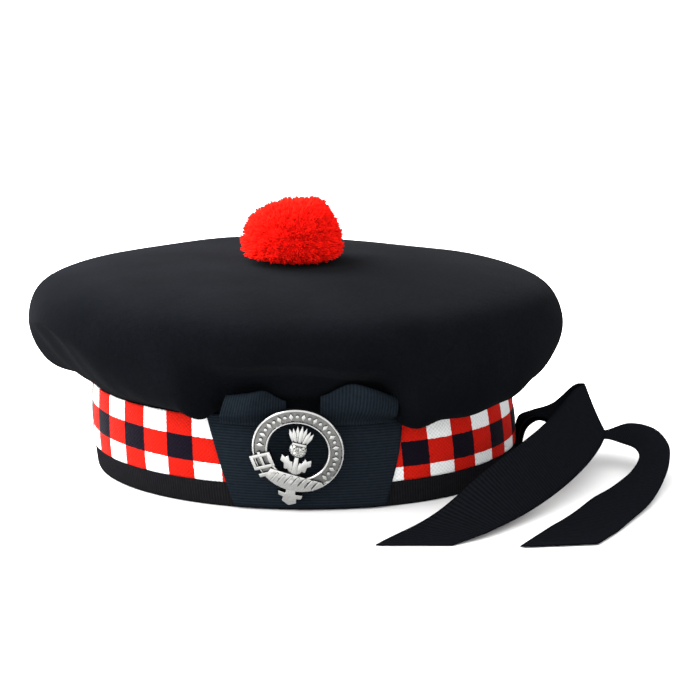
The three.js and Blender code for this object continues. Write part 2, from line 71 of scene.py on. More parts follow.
# Dicing: the binding covers the foot of its lowest row and the crown's lip the head of its highest
DICE_TALL = 11.3
DICE_LINE = 19.0  # height of the line over the lowest row
DICE_SLOPE = -2.2  # rise of that line towards the nape
DICE_SEAM = 143.0  # along from the middle of the cockade, beside the tails
DICE_MEASURED = 0.6 * BAND_TOP  # height at which the way round is measured
DICE_PILLOW = 0.35  # swell of the middle of a square
DICE_SUNK = 0.2  # depth of the lines between the squares
DICE_RIBS = 7  # in the width of a square
DICE_PICKS = 6  # in the height of a square

# Soft set of the crown
EQUATOR = 65.0
CROWN_SHIFT = 4.3  # of the crown towards the face
FACE_LIFT = 2.5  # rise of the crown at the face
FACE_NARROW = 0.16  # share that it loses in width there
EDGE_WAVE = 1.2  # shallow waves in the outline
EDGE_WAVES = 3
EDGE_WAVE_TURN = math.radians(34)
SAG_FULL = 50.0  # the set of the lower edge dies away from this height
SAG_END = 78.0
TUCK_WIDE = 9.0  # how far out from the band a tuck takes to grow
TUCK_FULL = 45.0  # and dies away from this height
TUCK_END = 56.0
PRESS_MIDDLE = math.radians(-88.8)  # of the stretch where the cockade presses
PRESS_ANGLE = math.radians(23.8)  # to each side of that
PRESS_SHARP = 18  # how suddenly it ends
TOP_FROM = 85.0  # the swells of the top grow from this height
TOP_FULL = 95.0
TOORIE_X = -8.0

Ring = namedtuple("Ring", "radius height")
Press = namedtuple("Press", "height inward lift")
EdgeSet = namedtuple("EdgeSet", "angle rise tuck")
Swell = namedtuple("Swell", "x y rise radius")
Loop = namedtuple("Loop", "start end outer depth fullness arch slant")
Bar = namedtuple("Bar", "width length thickness x y")
Turn = namedtuple("Turn", "x y z heading tilt span")
SoftBox = namedtuple("SoftBox", "name place size watts")

# How far the cockade pushes the crown in and lifts it, by height on the even crown
PRESS = [
    Press(42, 0, 0),
    Press(44.2, 4, 8),
    Press(46, 8.5, 13),
    Press(50, 11, 14),
    Press(57, 9, 11),
    Press(EQUATOR, 5, 6),
    Press(73, 2, 2),
    Press(84, 0, 0),
]

# Soft swells and hollows of the top: where, how high and how wide
SWELLS = [
    Swell(-45, 92, 2.4, 24),
    Swell(55, 92, -2.4, 32),
    Swell(TOORIE_X, 0, -1, 25),
]

# How far the crown's lower edge rises, and its fold beside the band is tucked up, by the angle round
# from the nape; a minus sign is a sag
EDGE_SET = [
    EdgeSet(-180, -3, 0),
    EdgeSet(-166, 11, 0),
    EdgeSet(-156, 17, 0),
    EdgeSet(-146, 12, 0),
    EdgeSet(-134, 5, 0),
    EdgeSet(-124, 1, 0),
    EdgeSet(-117, -1, 0),
    EdgeSet(-112, -4, -5),
    EdgeSet(-107, -2, 0),
    EdgeSet(-90, 0, 0),
    EdgeSet(-71, -5, 0),
    EdgeSet(-66, -9, -8),
    EdgeSet(-62, -9.5, -3),
    EdgeSet(-57, -9.5, 0),
    EdgeSet(-50, -10.5, 0),
    EdgeSet(-36, -6.5, 0),
    EdgeSet(-22, 0.5, 0),
    EdgeSet(-8, 4, 0),
    EdgeSet(20, -1, 0),
    EdgeSet(70, -4, 0),
    EdgeSet(130, -1, 0),
    EdgeSet(180, -3, 0),
]

# Half of the binding's fold: how far in from its upright face, and how high
BINDING_FOLD = [
    Ring(0, BAND_FOOT),
    Ring(0, 5.5),
    Ring(0, 1.4),
    Ring(0.4, 0.4),
    Ring(1.2, 0),
]

# Cockade: its flat leaf's corners along the band, and its pleats
LEAF_TOP = 43.0
LEAF_FOOT = 1.4
LEAF_TOP_ENDS = (-44.0, 47.5)
LEAF_FOOT_ENDS = (-33.2, 36.2)
LEAF_BOW = 2.2  # how far its edge towards the nape bows out
LEAF_CLEAR = 0.1  # over the raised squares of the dicing
PLEAT_HALF = 13.0  # from the crest of a pleat to its hollow
PLEAT_DEPTH = 0.5
PLEAT_FROM = 16.0  # along from the middle, flat up to there
PLEAT_FULL = 40.0

# Cockade: its two loops. Shares run from a loop's inner end, beside the badge, to its outer end
LOOP_FOOT = 39.5
LOOP_LEAN = math.radians(33)
LOOP_INNER = 0.62  # height of the inner end, as a share of the loop's depth
LOOP_MIDDLE = 0.45  # share along at which a loop is highest
LOOP_ARCH_END = 1.1  # and at which its fall would be full
LOOP_PINCH = 0.35  # fullness of the inner end
LOOP_FREE = 0.65  # share along at which a loop is full
LOOP_FOLD = 0.1  # fullness at the fold
LOOP_SWELL = 0.6  # share of its height at which it is widest
CREASE_DEPTH = 0.45  # of the gathers at the inner end
CREASE_PACE = 9.0
CREASE_SLANT = 2.2

# Ends along the band, the way its outer end faces, depth, fullness, fall of the outer end and slant
LOOPS = {
    "cockade_loop_front": Loop(-36.5, -6, -1, 20.3, 4.2, 0.13, 7),
    "cockade_loop_back": Loop(8.5, 40.5, 1, 24, 4.2, 0.36, 0),
}

# Badge, drawn flat round the middle of its ring
STRAP_OUTER = 20.0
STRAP_INNER = 13.3
STRAP_MIDDLE = (STRAP_OUTER + STRAP_INNER) / 2
STRAP_FLOOR = 1.8  # height of the sunk ground
STRAP_EDGE = 1.1  # width of the raised edges
STRAP_ROUND = 0.3
STRAP_SLOPE = 0.4
STRAP_END_RELIEF = 3.0
STRAP_END_INSET = 0.4
STRAP_END_ARC = (-44, -128)  # degrees round the ring
STRAP_END_STEPS = 8
BADGE_RELIEF = 2.6
BADGE_CREASE = math.radians(38)  # edges sharper than this stay crisp
STEEP = 0.4  # a face whose normal rises less than this is a side
NEAR = 0.1  # a face this close to a height lies at it
PLATE_EDGE = 0.35
FINE_EDGE = 0.3
BADGE_ALONG = -1.7
BADGE_HEIGHT = 30.8
BADGE_LEAN = math.radians(11)
BADGE_TILT = math.radians(14)
BADGE_NARROW = 0.94  # makes up for what the curve of the band adds to its width
BADGE_TIP = 27.5  # below the middle of the ring
ORNAMENTS = 25
ORNAMENT_ARC = (math.radians(-36), math.radians(184))
LOZENGE_HALF = (1.75, 1.05)
PELLET_RADIUS = 0.85
PELLET_SIDES = 8
CORDS = 7
CORD_ENDS = (-8, 10.4)
CORD_LEAN = -28
BUCKLE_TURN = math.radians(210)

# Straight bars of the badge: the buckle's four sides, prong and keeper, a cord and the thistle's collar
BUCKLE_BARS = [
    Bar(9.6, 1.6, 3.4, 0, 2.8),
    Bar(9.6, 1.6, 3.4, 0, -2.8),
    Bar(1.6, 7.2, 3.4, 4, 0),
    Bar(1.6, 7.2, 3.4, -4, 0),
    Bar(1.3, 8, 3.2, 0, -0.6),
    Bar(8, 1.8, 3, 0, 6.5),
]
CORD = Bar(1.1, 5.6, 3.5, 0, -14.6)
COLLAR = Bar(6.2, 1.3, 3.1, 0, 3.5)

# Outlines on the badge, across and up from the middle of its ring; the halves are mirrored
STRAP_END_TOP = [(-10.4, -10.8), (-4, -11.3), (4, -11.8), (12.6, -12.3)]
TIP_HALF = [(2.2, -14.3), (2.2, -21.5), (5.6, -21), (5.2, -23.2), (3, -23.6), (3.4, -25.6), (0, -BADGE_TIP)]
STEM_HALF = [(1.5, -13.8), (0.9, -3)]
LEAF_OUTLINE = [
    (0, -12.6), (3, -12), (4.4, -9.8), (6.6, -10), (7.2, -7.2), (9.6, -6.2), (9, -3),
    (6.6, -4.4), (5.2, -2.8), (3.8, -5.6), (2, -5.6), (1.4, -8.2), (0, -9),
]
LEAF_SLIM = 0.72
LEAF_RELIEF = 2.0
STEM_RELIEF = 2.4
HEAD_RADIUS = 3.7
HEAD_FLAT = 0.8
SCALE_INSET = 0.2
SCALE_RISE = 0.25
BLADES = 7
BLADE_SPREAD = 26  # degrees to each side
BLADE_LONG = 9.4
BLADE_SHORT = 7.0
BLADE_HALF = (0.7, 0.95)  # half widths at its foot and at its shoulder
BLADE_SHOULDER = 0.6
BLADE_STEP = 0.09  # along the collar for each degree of lean
BLADE_RELIEF = 2.0
BLADE_OVERLAP = 0.5

# Toorie: a flat-footed loaf, rounder towards the face, with a slanted side towards the nape
TOORIE_CENTRE = Vector((TOORIE_X, 0, 103))
TOORIE_RADIUS = 25.0
TOORIE_ABOVE = 22.7
TOORIE_BELOW = 5.0
TOORIE_SQUARE = 3.5  # 2 would be round, and more is squarer
TOORIE_SQUARER = 0.7  # more of that towards the nape
TOORIE_FOOT_SQUARE = 2.4
TOORIE_SLANT = 0.2
TOORIE_TILT = 0.095  # rise of its top towards the nape
TOORIE_TRIM = 0.8  # kept back from the radius for stray ends
TOORIE_LUMPS = 2.3
TOORIE_LUMP = 0.03

# Yarn: heights are shares of the way out from the middle, and tones run from deep to lit
CORE_SHARE = 0.9
ROOT_SHARE = 0.8
TUFTS = 900
TUFT_STRAY = 0.04
TUFT_PULL = 0.25
TUFT_RISE = 0.025
END_RISE = 0.03
END_STRAY = 0.35  # in millimetres
END_TAPER = 0.7
YARN_UNEVEN = 0.25
TUFT_TONES = (0.45, 1)
END_TONE = 0.25
ROOT_TONE = 0.4

# Ribbon tails from the seam at the nape to the cut end
NEAR_TAIL = [
    Turn(98.9, 0, 5, -90, 0, 26),
    Turn(99.1, 0, 13, -90, 0, 26),
    Turn(101.2, 0, 19.6, -90, 5, 26),
    Turn(107, 0, 22.8, -90, 8, 26),
    Turn(117, 0, 23, -90, -6, 26),
    Turn(127.5, 1, 26, -88, -36, 26),
    Turn(134.8, -5.2, 27, -20, -68, 23),
    Turn(132.5, -17, 27.4, -12, -56, 26),
    Turn(125.2, -38, 24.2, -22, -44, 27),
    Turn(115.4, -61.5, 21, -25, -47, 27.5),
    Turn(102.2, -83.5, 16.8, -30, -46, 27.5),
    Turn(86.5, -104.5, 12, -34, -37, 26.5),
    Turn(67.5, -125, 4.8, -30, -12, 25.5),
    Turn(46.5, -143.5, 0.3, 0, 0, 33),
]
FAR_TAIL = [
    Turn(100.4, 0, 5, -90, 0, 26),
    Turn(100.6, 0, 11.5, -90, 0, 26),
    Turn(103.1, 0, 17.9, -90, 5, 26),
    Turn(108.8, 0, 20.9, -89, 8, 26),
    Turn(119, 0, 18.6, -87, -4, 26),
    Turn(131, -1, 13.5, -87, 0, 25),
    Turn(141.5, -2, 12.6, -89, 6, 25),
    Turn(151, -3, 13.7, -102, -8, 25),
    Turn(159, -14, 14, -116, -9, 25.5),
    Turn(161.5, -32, 12.3, -130, -5, 25),
    Turn(158, -48, 8.8, -152, -5, 22),
    Turn(150.5, -64, 4.8, -176, -2, 23),
    Turn(141.5, -82, 2.8, -196, 0, 26),
    Turn(131.5, -102, 1.7, -203, 0, 27),
    Turn(120.5, -123, 1.4, -194, 0, 29),
    Turn(108.7, -144.5, 1.3, -173, 0, 34),
]
TAILS = {"ribbon_tail_near": NEAR_TAIL, "ribbon_tail_far": FAR_TAIL}
TAIL_STEPS = 200
TAIL_LOWEST = 0.15  # above the floor

# Stage, placed in metres: the camera stands back from its aim, at the photograph's angle above the level
CAMERA_AIM = Vector((0.01905, 0, 0.05361))
CAMERA_BACK = 1.2535
CAMERA_RISE = math.radians(12.864)
LIGHT_AIM = Vector((0, 0, 0.06))
FLOOR_SIZE = 12
DOME = 2.5
SOFT_BOXES = [
    SoftBox("key_left", (-0.55, -0.4, 0.45), 0.35, 5.5),
    SoftBox("near_left", (-0.24, 0.16, 0.34), 0.3, 9),
    SoftBox("side_left", (-0.9, 0.3, 0.32), 0.5, 9),
    SoftBox("back_left", (-0.4, 0.75, 0.38), 0.6, 16),
]


def linear(code):
    """An sRGB hex colour as a linear one"""
    shares = (int(code[i:i + 2], 16) / 255 for i in (0, 2, 4))
    return tuple(c / 12.92 if c <= 0.04045 else ((c + 0.055) / 1.055) ** 2.4 for c in shares)


def size(name, description, default):
    """A length that a user may change, in metres"""
    return FloatProperty(name=name, description=description, default=default, unit="LENGTH", min=0.0001)


def colour(name, description, code):
    """A colour that a user may change, from its sRGB hex code"""
    return FloatVectorProperty(
        name=name, description=description, default=linear(code), subtype="COLOR", size=3, min=0, max=1
    )


class BonnetSizes(PropertyGroup):
    """Sizes of the bonnet"""

    head_length: size("Head Length", "Opening inside the binding, from brow to nape", 0.194)
    head_width: size("Head Width", "Opening inside the binding, from side to side", 0.168)
    crown_length: size("Crown Length", "Widest part of the crown, from face to nape", 0.2555)
    crown_width: size("Crown Width", "Widest part of the crown, from side to side", 0.232)
    dice: size("Dice", "Width of one column of the dicing", 0.014)
    yarn: size("Yarn", "Thickness of the toorie's yarn ends", 0.00055)
    yarn_ends: IntProperty(
        name="Yarn Ends", description="Cut ends of yarn on the toorie", default=23000, min=100
    )


class BonnetColours(PropertyGroup):
    """Colours of its cloth, ribbon, metal and yarn, and of the floor"""

    felt: colour("Felt", "Dark side of the felted wool", "060709")
    felt_light: colour("Felt Fibres", "Fibres that catch the light on the felt", "0A0B0E")
    red: colour("Red Dice", "Red squares of the dicing", "A41308")
    white: colour("White Dice", "White squares of the dicing", "CCCECE")
    black: colour("Black Dice", "Black squares of the dicing", "0A0610")
    # Painted light: the cockade and the tails are one grosgrain ribbon, painted a lighter, lit tone on the
    # cockade and a darker, shaded tone on the tails
    cockade: colour("Cockade", "Grosgrain of the cockade", "12171C")
    tails: colour("Tails", "Grosgrain of the ribbon tails", "0B0C0F")
    binding: colour("Binding", "Grosgrain of the bound rim", "121214")
    metal: colour("White Metal", "Polished faces of the badge", "9C9C9A")
    satin: colour("Satin Metal", "Sunk ground of the badge's strap", "626261")
    # Painted shade: this dark metal goes on every side face of the badge, as oxide in its hollows and as
    # shade along all its other sides
    oxide_and_shade: colour("Oxide", "Darkened creases of the badge", "222222")
    yarn: colour("Yarn", "Lit yarn of the toorie", "EE1C12")
    yarn_deep: colour("Deep Yarn", "Yarn in the shade of its neighbours", "BC120D")
    floor: colour("Floor", "Plain pale floor", "D0D0D0")


def lerp(low, high, share):
    """A share of the way from one value to another"""
    return low + (high - low) * share


def smooth(value, low, high):
    """Runs softly from 0 at one value to 1 at another"""
    share = min(max((value - low) / (high - low), 0), 1)
    return share * share * (3 - 2 * share)


def between(rows, value, column):
    """Reads a column of a table smoothly between the rows on each side of a value"""
    for low, high in zip(rows, rows[1:]):
        if value < high[0]:
            return lerp(getattr(low, column), getattr(high, column), smooth(value, low[0], high[0]))
    return getattr(rows[-1], column)


class Form:
    """The bonnet's soft form in millimetres, worked out from its sizes"""

    def __init__(self, sizes):
        self.head_radius = (sizes.head_length + sizes.head_width) / 4 / MM
        self.head_oval = (sizes.head_length - sizes.head_width) / 4 / MM
        self.crown_radius = (sizes.crown_length + sizes.crown_width) / 4 / MM
        self.crown_oval = (sizes.crown_length - sizes.crown_width) / 4 / MM
        self.felt_outer = self.head_radius + RIBBON + GAP + FELT
        self.band_outer = self.felt_outer + GAP + DICING
        self.binding_outer = self.felt_outer + GAP + RIBBON

    def band(self, radius, angle, height):
        """A point beside the even, round headband, where the soft, oval one has it"""
        share = min(max(height / BAND_TOP, 0), 1)
        reach = radius + BAND_BULGE * math.sin(math.pi * share) - BAND_TAPER * share
        x = (reach + self.head_oval) * math.cos(angle) - BAND_LEAN * share - self.nape(angle)
        y = (reach - self.head_oval) * math.sin(angle)
        return Vector((x, y, height))

    def nape(self, angle):
        """How far the band is drawn in, that way round"""
        return NAPE_DRAW * smooth(math.cos(angle), NAPE_WIDE, 1)

    def beside_band(self, along, height, out):
        """A point in front of the cockade's stretch of band"""
        angle = along / (self.band_outer + self.head_oval) - math.pi / 2
        return self.band(self.band_outer + out, angle, height)

    def settle(self, radius, angle, height):
        """A point of the even, round crown, where the soft one has it"""
        if height <= BAND_TOP:
            return self.band(radius, angle, height)
        rise = smooth(height, BAND_TOP, EQUATOR)
        overhang = smooth(radius, self.felt_outer, self.crown_radius)
        oval = lerp(self.head_oval / self.felt_outer, self.crown_oval / self.crown_radius, rise)
        press = math.exp(-((abs(angle - PRESS_MIDDLE) / PRESS_ANGLE) ** PRESS_SHARP))
        wave = EDGE_WAVE * overhang * math.sin(EDGE_WAVES * angle + EDGE_WAVE_TURN)
        reach = radius - BAND_TAPER * (1 - rise) + wave - press * between(PRESS, height, "inward")
        face = (1 - math.cos(angle)) / 2
        drawn = BAND_LEAN + CROWN_SHIFT * rise + self.nape(angle) * (1 - rise)
        x = reach * (1 + oval) * math.cos(angle) - drawn
        y = reach * (1 - oval) * math.sin(angle) * (1 - FACE_NARROW * rise * face**4)
        edge = overhang * (1 - smooth(height, SAG_FULL, SAG_END))
        beside = smooth(radius, self.felt_outer, self.felt_outer + TUCK_WIDE)
        fold = beside * (1 - smooth(height, TUCK_FULL, TUCK_END))
        sag = edge * between(EDGE_SET, math.degrees(angle), "rise")
        sag += fold * between(EDGE_SET, math.degrees(angle), "tuck")
        carried = FACE_LIFT * face * face * rise * smooth(radius, TOORIE_RADIUS, self.crown_radius)
        top = 0
        for swell in SWELLS:
            away = (x - swell.x) ** 2 + (y - swell.y) ** 2
            top += swell.rise * math.exp(-away / swell.radius**2)
        lift = press * between(PRESS, height, "lift")
        return Vector((x, y, height + lift + sag + carried + top * smooth(height, TOP_FROM, TOP_FULL)))


def ring_wall(rows, segments):
    """Draws a wall up from a circle, ring by ring, and leaves the last ring selected in edit mode"""
    bpy.ops.object.select_all(action="DESELECT")
    bpy.ops.mesh.primitive_circle_add(vertices=segments, radius=rows[0].radius * MM)
    bpy.ops.object.mode_set(mode="EDIT")
    bpy.ops.mesh.select_all(action="SELECT")
    bpy.ops.transform.translate(value=(0, 0, rows[0].height * MM))
    for low, high in zip(rows, rows[1:]):
        bpy.ops.mesh.extrude_region_move(
            TRANSFORM_OT_translate={"value": (0, 0, (high.height - low.height) * MM)}
        )
        grow = high.radius / low.radius
        bpy.ops.transform.resize(value=(grow, grow, 1), center_override=(0, 0, high.height * MM))
    return bpy.context.object


def close_mesh(obj):
    """Leaves edit mode with doubles merged and every face turned outwards"""
    bpy.ops.mesh.select_all(action="SELECT")
    bpy.ops.mesh.remove_doubles(threshold=1e-6)
    bpy.ops.mesh.normals_make_consistent(inside=False)
    bpy.ops.object.mode_set(mode="OBJECT")
    return obj


def reshape(obj, place):
    """Moves every vertex, read and placed in millimetres"""
    for vertex in obj.data.vertices:
        vertex.co = place(vertex.co / MM) * MM


def around(place):
    """A move that reads a vertex by its radius, angle and height"""
    return lambda point: place(math.hypot(point.x, point.y), math.atan2(point.y, point.x), point.z)


def make_active(obj):
    """Selects one object alone"""
    bpy.ops.object.select_all(action="DESELECT")
    obj.select_set(True)
    bpy.context.view_layer.objects.active = obj


def apply_modifier(obj, kind, **settings):
    """Gives an object a modifier and applies it"""
    modifier = obj.modifiers.new(kind.title(), kind)
    for key, value in settings.items():
        setattr(modifier, key, value)
    make_active(obj)
    bpy.ops.object.modifier_apply(modifier=modifier.name)


def subdivide(obj, levels):
    """Makes a mesh finer and softer"""
    apply_modifier(obj, "SUBSURF", levels=levels, render_levels=levels)


def thicken(obj, thickness, offset=-1):
    """Gives a sheet its thickness in millimetres, inwards unless the offset says otherwise"""
    apply_modifier(obj, "SOLIDIFY", thickness=thickness * MM, offset=offset, use_even_offset=False)


def ruffle(obj, depth, spread, seed=0):
    """Gives cloth small soft swells along its normals"""
    normals = [vertex.normal.copy() for vertex in obj.data.vertices]
    for vertex, normal in zip(obj.data.vertices, normals):
        swell = noise.noise(vertex.co / (spread * MM) + Vector((seed, 0, 0)))
        vertex.co += normal * (depth * MM * swell)


def mesh_object(name, points, faces):
    """An object from points in millimetres and their faces"""
    mesh = bpy.data.meshes.new(name)
    mesh.from_pydata([tuple(p * MM for p in point) for point in points], [], faces)
    mesh.update()
    obj = bpy.data.objects.new(name, mesh)
    bpy.context.scene.collection.objects.link(obj)
    make_active(obj)
    return obj


def copy_of(obj):
    """A copy with a mesh of its own"""
    twin = obj.copy()
    twin.data = obj.data.copy()
    bpy.context.scene.collection.objects.link(twin)
    return twin


def cloth_sheet(name, across, along, place, flat, closed=False):
    """A sheet placed by its two shares, with a UV map in millimetres of the flat cloth"""
    columns = across if closed else across + 1
    points = [place(i / across, j / along) for j in range(along + 1) for i in range(columns)]
    corners = ((0, 0), (1, 0), (1, 1), (0, 1))
    cells = [(i, j) for j in range(along) for i in range(across)]
    faces = [[(j + b) * columns + (i + a) % columns for a, b in corners] for i, j in cells]
    obj = mesh_object(name, points, faces)
    layer = obj.data.uv_layers.new(name="UVMap")
    shares = [((i + a) / across * flat[0], (j + b) / along * flat[1]) for i, j in cells for a, b in corners]
    for loop, share in zip(layer.data, shares):
        loop.uv = share
    return obj


def finish_piece(obj, name, materials, node):
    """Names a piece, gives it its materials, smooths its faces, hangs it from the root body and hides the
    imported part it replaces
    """
    obj.name = name
    obj.data.name = name
    for material in materials:
        if material.name not in obj.data.materials:
            obj.data.materials.append(material)
    for polygon in obj.data.polygons:
        polygon.use_smooth = True
    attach(obj, "root")
    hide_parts(node)


# Sockets of a Mix node that mixes colours
MIX_SHARE = 0
MIX_FIRST = 6
MIX_SECOND = 7
MIX_RESULT = 2


def feed(tree, node, inputs):
    """Sets a node's sockets, each by a value or by a link"""
    for key, value in inputs.items():
        if isinstance(value, NodeSocket):
            tree.links.new(value, node.inputs[key])
        else:
            node.inputs[key].default_value = value


def add_node(tree, kind, inputs=None, **settings):
    """Adds a node with its settings, and its sockets' values or links"""
    made = tree.nodes.new(kind)
    for key, value in settings.items():
        setattr(made, key, value)
    feed(tree, made, inputs or {})
    return made


def start_material(name):
    """An empty node material with its surface and its output"""
    material = bpy.data.materials.get(name) or bpy.data.materials.new(name)
    material.use_nodes = True
    tree = material.node_tree
    tree.nodes.clear()
    surface = add_node(tree, "ShaderNodeBsdfPrincipled")
    add_node(tree, "ShaderNodeOutputMaterial", {"Surface": surface.outputs["BSDF"]})
    return material, tree, surface


def per_mm(size_mm):
    """A texture's scale on Object coordinates, for features of a real size"""
    return 1 / (size_mm * MM)


def felt_wool(colours):
    """Milled wool felt: matt, a soft nap that catches light at the edges, faint mottling"""
    material, tree, surface = start_material("felted_wool")
    place = add_node(tree, "ShaderNodeTexCoord").outputs["Object"]
    fibre = add_node(
        tree, "ShaderNodeTexNoise",
        {"Vector": place, "Scale": per_mm(2.2), "Detail": 9, "Roughness": 0.72, "Distortion": 0.6},
    )
    cloud = add_node(tree, "ShaderNodeTexNoise", {"Vector": place, "Scale": per_mm(30), "Detail": 3})
    both = add_node(
        tree, "ShaderNodeMath", {0: fibre.outputs["Fac"], 1: cloud.outputs["Fac"]}, operation="MULTIPLY"
    )
    spread = add_node(
        tree, "ShaderNodeMapRange", {"Value": both.outputs[0], "From Min": 0.12, "From Max": 0.42}
    )
    tint = add_node(
        tree, "ShaderNodeMix",
        {
            MIX_SHARE: spread.outputs[0],
            MIX_FIRST: (*colours.felt, 1),
            MIX_SECOND: (*colours.felt_light, 1),
        },
        data_type="RGBA",
    )
    bump = add_node(
        tree, "ShaderNodeBump",
        {"Height": fibre.outputs["Fac"], "Strength": 0.5, "Distance": 0.5 * MM},
    )
    feed(tree, surface, {
        "Base Color": tint.outputs[MIX_RESULT],
        "Normal": bump.outputs["Normal"],
        "Roughness": 1,
        "Specular IOR Level": 0,
        "Sheen Weight": 0.008,
        "Sheen Roughness": 0.4,
    })
    return material


def diced_wool(colours):
    """Wool dicing: three rows of squares in matt yarn, with the ribs of the knit across each square"""
    material, tree, surface = start_material("diced_wool")
    uv = add_node(tree, "ShaderNodeUVMap", uv_map="UVMap").outputs["UV"]
    place = add_node(tree, "ShaderNodeTexCoord").outputs["Object"]
    stray = add_node(tree, "ShaderNodeTexNoise", {"Vector": place, "Scale": per_mm(1.6), "Detail": 2})
    shift = add_node(
        tree, "ShaderNodeVectorMath",
        {0: stray.outputs["Color"], 1: (0.5, 0.5, 0.5)}, operation="SUBTRACT",
    )
    nudge = add_node(
        tree, "ShaderNodeVectorMath",
        {0: shift.outputs[0], 1: (0.06, 0.06, 0), 2: uv}, operation="MULTIPLY_ADD",
    )
    parts = add_node(tree, "ShaderNodeSeparateXYZ", {0: nudge.outputs[0]})
    column = add_node(tree, "ShaderNodeMath", {0: parts.outputs["X"]}, operation="FLOOR")
    odd = add_node(tree, "ShaderNodeMath", {0: column.outputs[0], 1: 2.0}, operation="FLOORED_MODULO")
    row = add_node(tree, "ShaderNodeMath", {0: parts.outputs["Y"]}, operation="FLOOR")
    middle = add_node(
        tree, "ShaderNodeMath", {0: row.outputs[0], 1: 1.0, 2: 0.5}, operation="COMPARE"
    )
    even = add_node(tree, "ShaderNodeMath", {0: 1.0, 1: odd.outputs[0]}, operation="SUBTRACT")
    sort = add_node(tree, "ShaderNodeMath", {0: even.outputs[0], 1: middle.outputs[0]}, operation="ADD")
    is_dyed = add_node(tree, "ShaderNodeMath", {0: sort.outputs[0], 1: 0.5}, operation="GREATER_THAN")
    is_black = add_node(tree, "ShaderNodeMath", {0: sort.outputs[0], 1: 1.5}, operation="GREATER_THAN")
    dyed = add_node(
        tree, "ShaderNodeMix",
        {
            MIX_SHARE: is_dyed.outputs[0],
            MIX_FIRST: (*colours.white, 1),
            MIX_SECOND: (*colours.red, 1),
        },
        data_type="RGBA",
    )
    dice = add_node(
        tree, "ShaderNodeMix",
        {
            MIX_SHARE: is_black.outputs[0],
            MIX_FIRST: dyed.outputs[MIX_RESULT],
            MIX_SECOND: (*colours.black, 1),
        },
        data_type="RGBA",
    )
    exact = add_node(tree, "ShaderNodeSeparateXYZ", {0: uv})
    rib = add_node(
        tree, "ShaderNodeMath", {0: exact.outputs["X"], 1: math.tau * DICE_RIBS}, operation="MULTIPLY"
    )
    ribs = add_node(tree, "ShaderNodeMath", {0: rib.outputs[0]}, operation="SINE")
    pick = add_node(
        tree, "ShaderNodeMath", {0: exact.outputs["Y"], 1: math.tau * DICE_PICKS}, operation="MULTIPLY"
    )
    picks = add_node(tree, "ShaderNodeMath", {0: pick.outputs[0]}, operation="SINE")
    weave = add_node(tree, "ShaderNodeMath", {0: ribs.outputs[0], 1: picks.outputs[0]}, operation="MULTIPLY")
    fuzz = add_node(
        tree, "ShaderNodeTexNoise",
        {"Vector": place, "Scale": per_mm(0.9), "Detail": 6, "Roughness": 0.7},
    )
    height = add_node(
        tree, "ShaderNodeMath",
        {0: weave.outputs[0], 1: 0.3, 2: fuzz.outputs["Fac"]}, operation="MULTIPLY_ADD",
    )
    shade = add_node(
        tree, "ShaderNodeMapRange",
        {"Value": height.outputs[0], "From Min": 0.1, "From Max": 0.9, "To Min": 0.72, "To Max": 1.08},
    )
    coloured = add_node(
        tree, "ShaderNodeVectorMath",
        {0: dice.outputs[MIX_RESULT], "Scale": shade.outputs[0]}, operation="SCALE",
    )
    bump = add_node(
        tree, "ShaderNodeBump", {"Height": height.outputs[0], "Strength": 0.6, "Distance": 0.4 * MM}
    )
    feed(tree, surface, {
        "Base Color": coloured.outputs[0],
        "Normal": bump.outputs["Normal"],
        "Roughness": 0.9,
        "Specular IOR Level": 0.05,
    })
    return material


def grosgrain(name, tone):
    """Grosgrain ribbon: close ribs across its length and the dull, slightly uneven face of the weave"""
    material, tree, surface = start_material(name)
    uv = add_node(tree, "ShaderNodeUVMap", uv_map="UVMap").outputs["UV"]
    place = add_node(tree, "ShaderNodeTexCoord").outputs["Object"]
    parts = add_node(tree, "ShaderNodeSeparateXYZ", {0: uv})
    turn = add_node(
        tree, "ShaderNodeMath", {0: parts.outputs["Y"], 1: math.tau / GROSGRAIN_RIB}, operation="MULTIPLY"
    )
    ribs = add_node(tree, "ShaderNodeMath", {0: turn.outputs[0]}, operation="SINE")
    slub = add_node(
        tree, "ShaderNodeTexNoise", {"Vector": place, "Scale": per_mm(1.8), "Detail": 5, "Roughness": 0.65}
    )
    height = add_node(
        tree, "ShaderNodeMath",
        {0: ribs.outputs[0], 1: 0.35, 2: slub.outputs["Fac"]}, operation="MULTIPLY_ADD",
    )
    shade = add_node(
        tree, "ShaderNodeMapRange",
        {"Value": height.outputs[0], "From Min": 0.0, "From Max": 1.0, "To Min": 0.55, "To Max": 1.35},
    )
    coloured = add_node(
        tree, "ShaderNodeVectorMath", {0: (*tone,), "Scale": shade.outputs[0]}, operation="SCALE"
    )
    bump = add_node(
        tree, "ShaderNodeBump", {"Height": height.outputs[0], "Strength": 0.45, "Distance": 0.3 * MM}
    )
    feed(tree, surface, {
        "Base Color": coloured.outputs[0],
        "Normal": bump.outputs["Normal"],
        "Roughness": 0.7,
        "Specular IOR Level": 0,
    })
    return material


def cast_metal(name, tone, low, high):
    """Cast and polished white metal: bright, with the slight unevenness of a hand-finished casting"""
    material, tree, surface = start_material(name)
    place = add_node(tree, "ShaderNodeTexCoord").outputs["Object"]
    wear = add_node(tree, "ShaderNodeTexNoise", {"Vector": place, "Scale": per_mm(2.4), "Detail": 6})
    rough = add_node(
        tree, "ShaderNodeMapRange",
        {"Value": wear.outputs["Fac"], "From Min": 0.3, "From Max": 0.7, "To Min": low, "To Max": high},
    )
    bump = add_node(
        tree, "ShaderNodeBump", {"Height": wear.outputs["Fac"], "Strength": 0.25, "Distance": 0.2 * MM}
    )
    feed(tree, surface, {
        "Base Color": (*tone, 1),
        "Normal": bump.outputs["Normal"],
        "Roughness": rough.outputs[0],
        "Metallic": 1,
    })
    return material


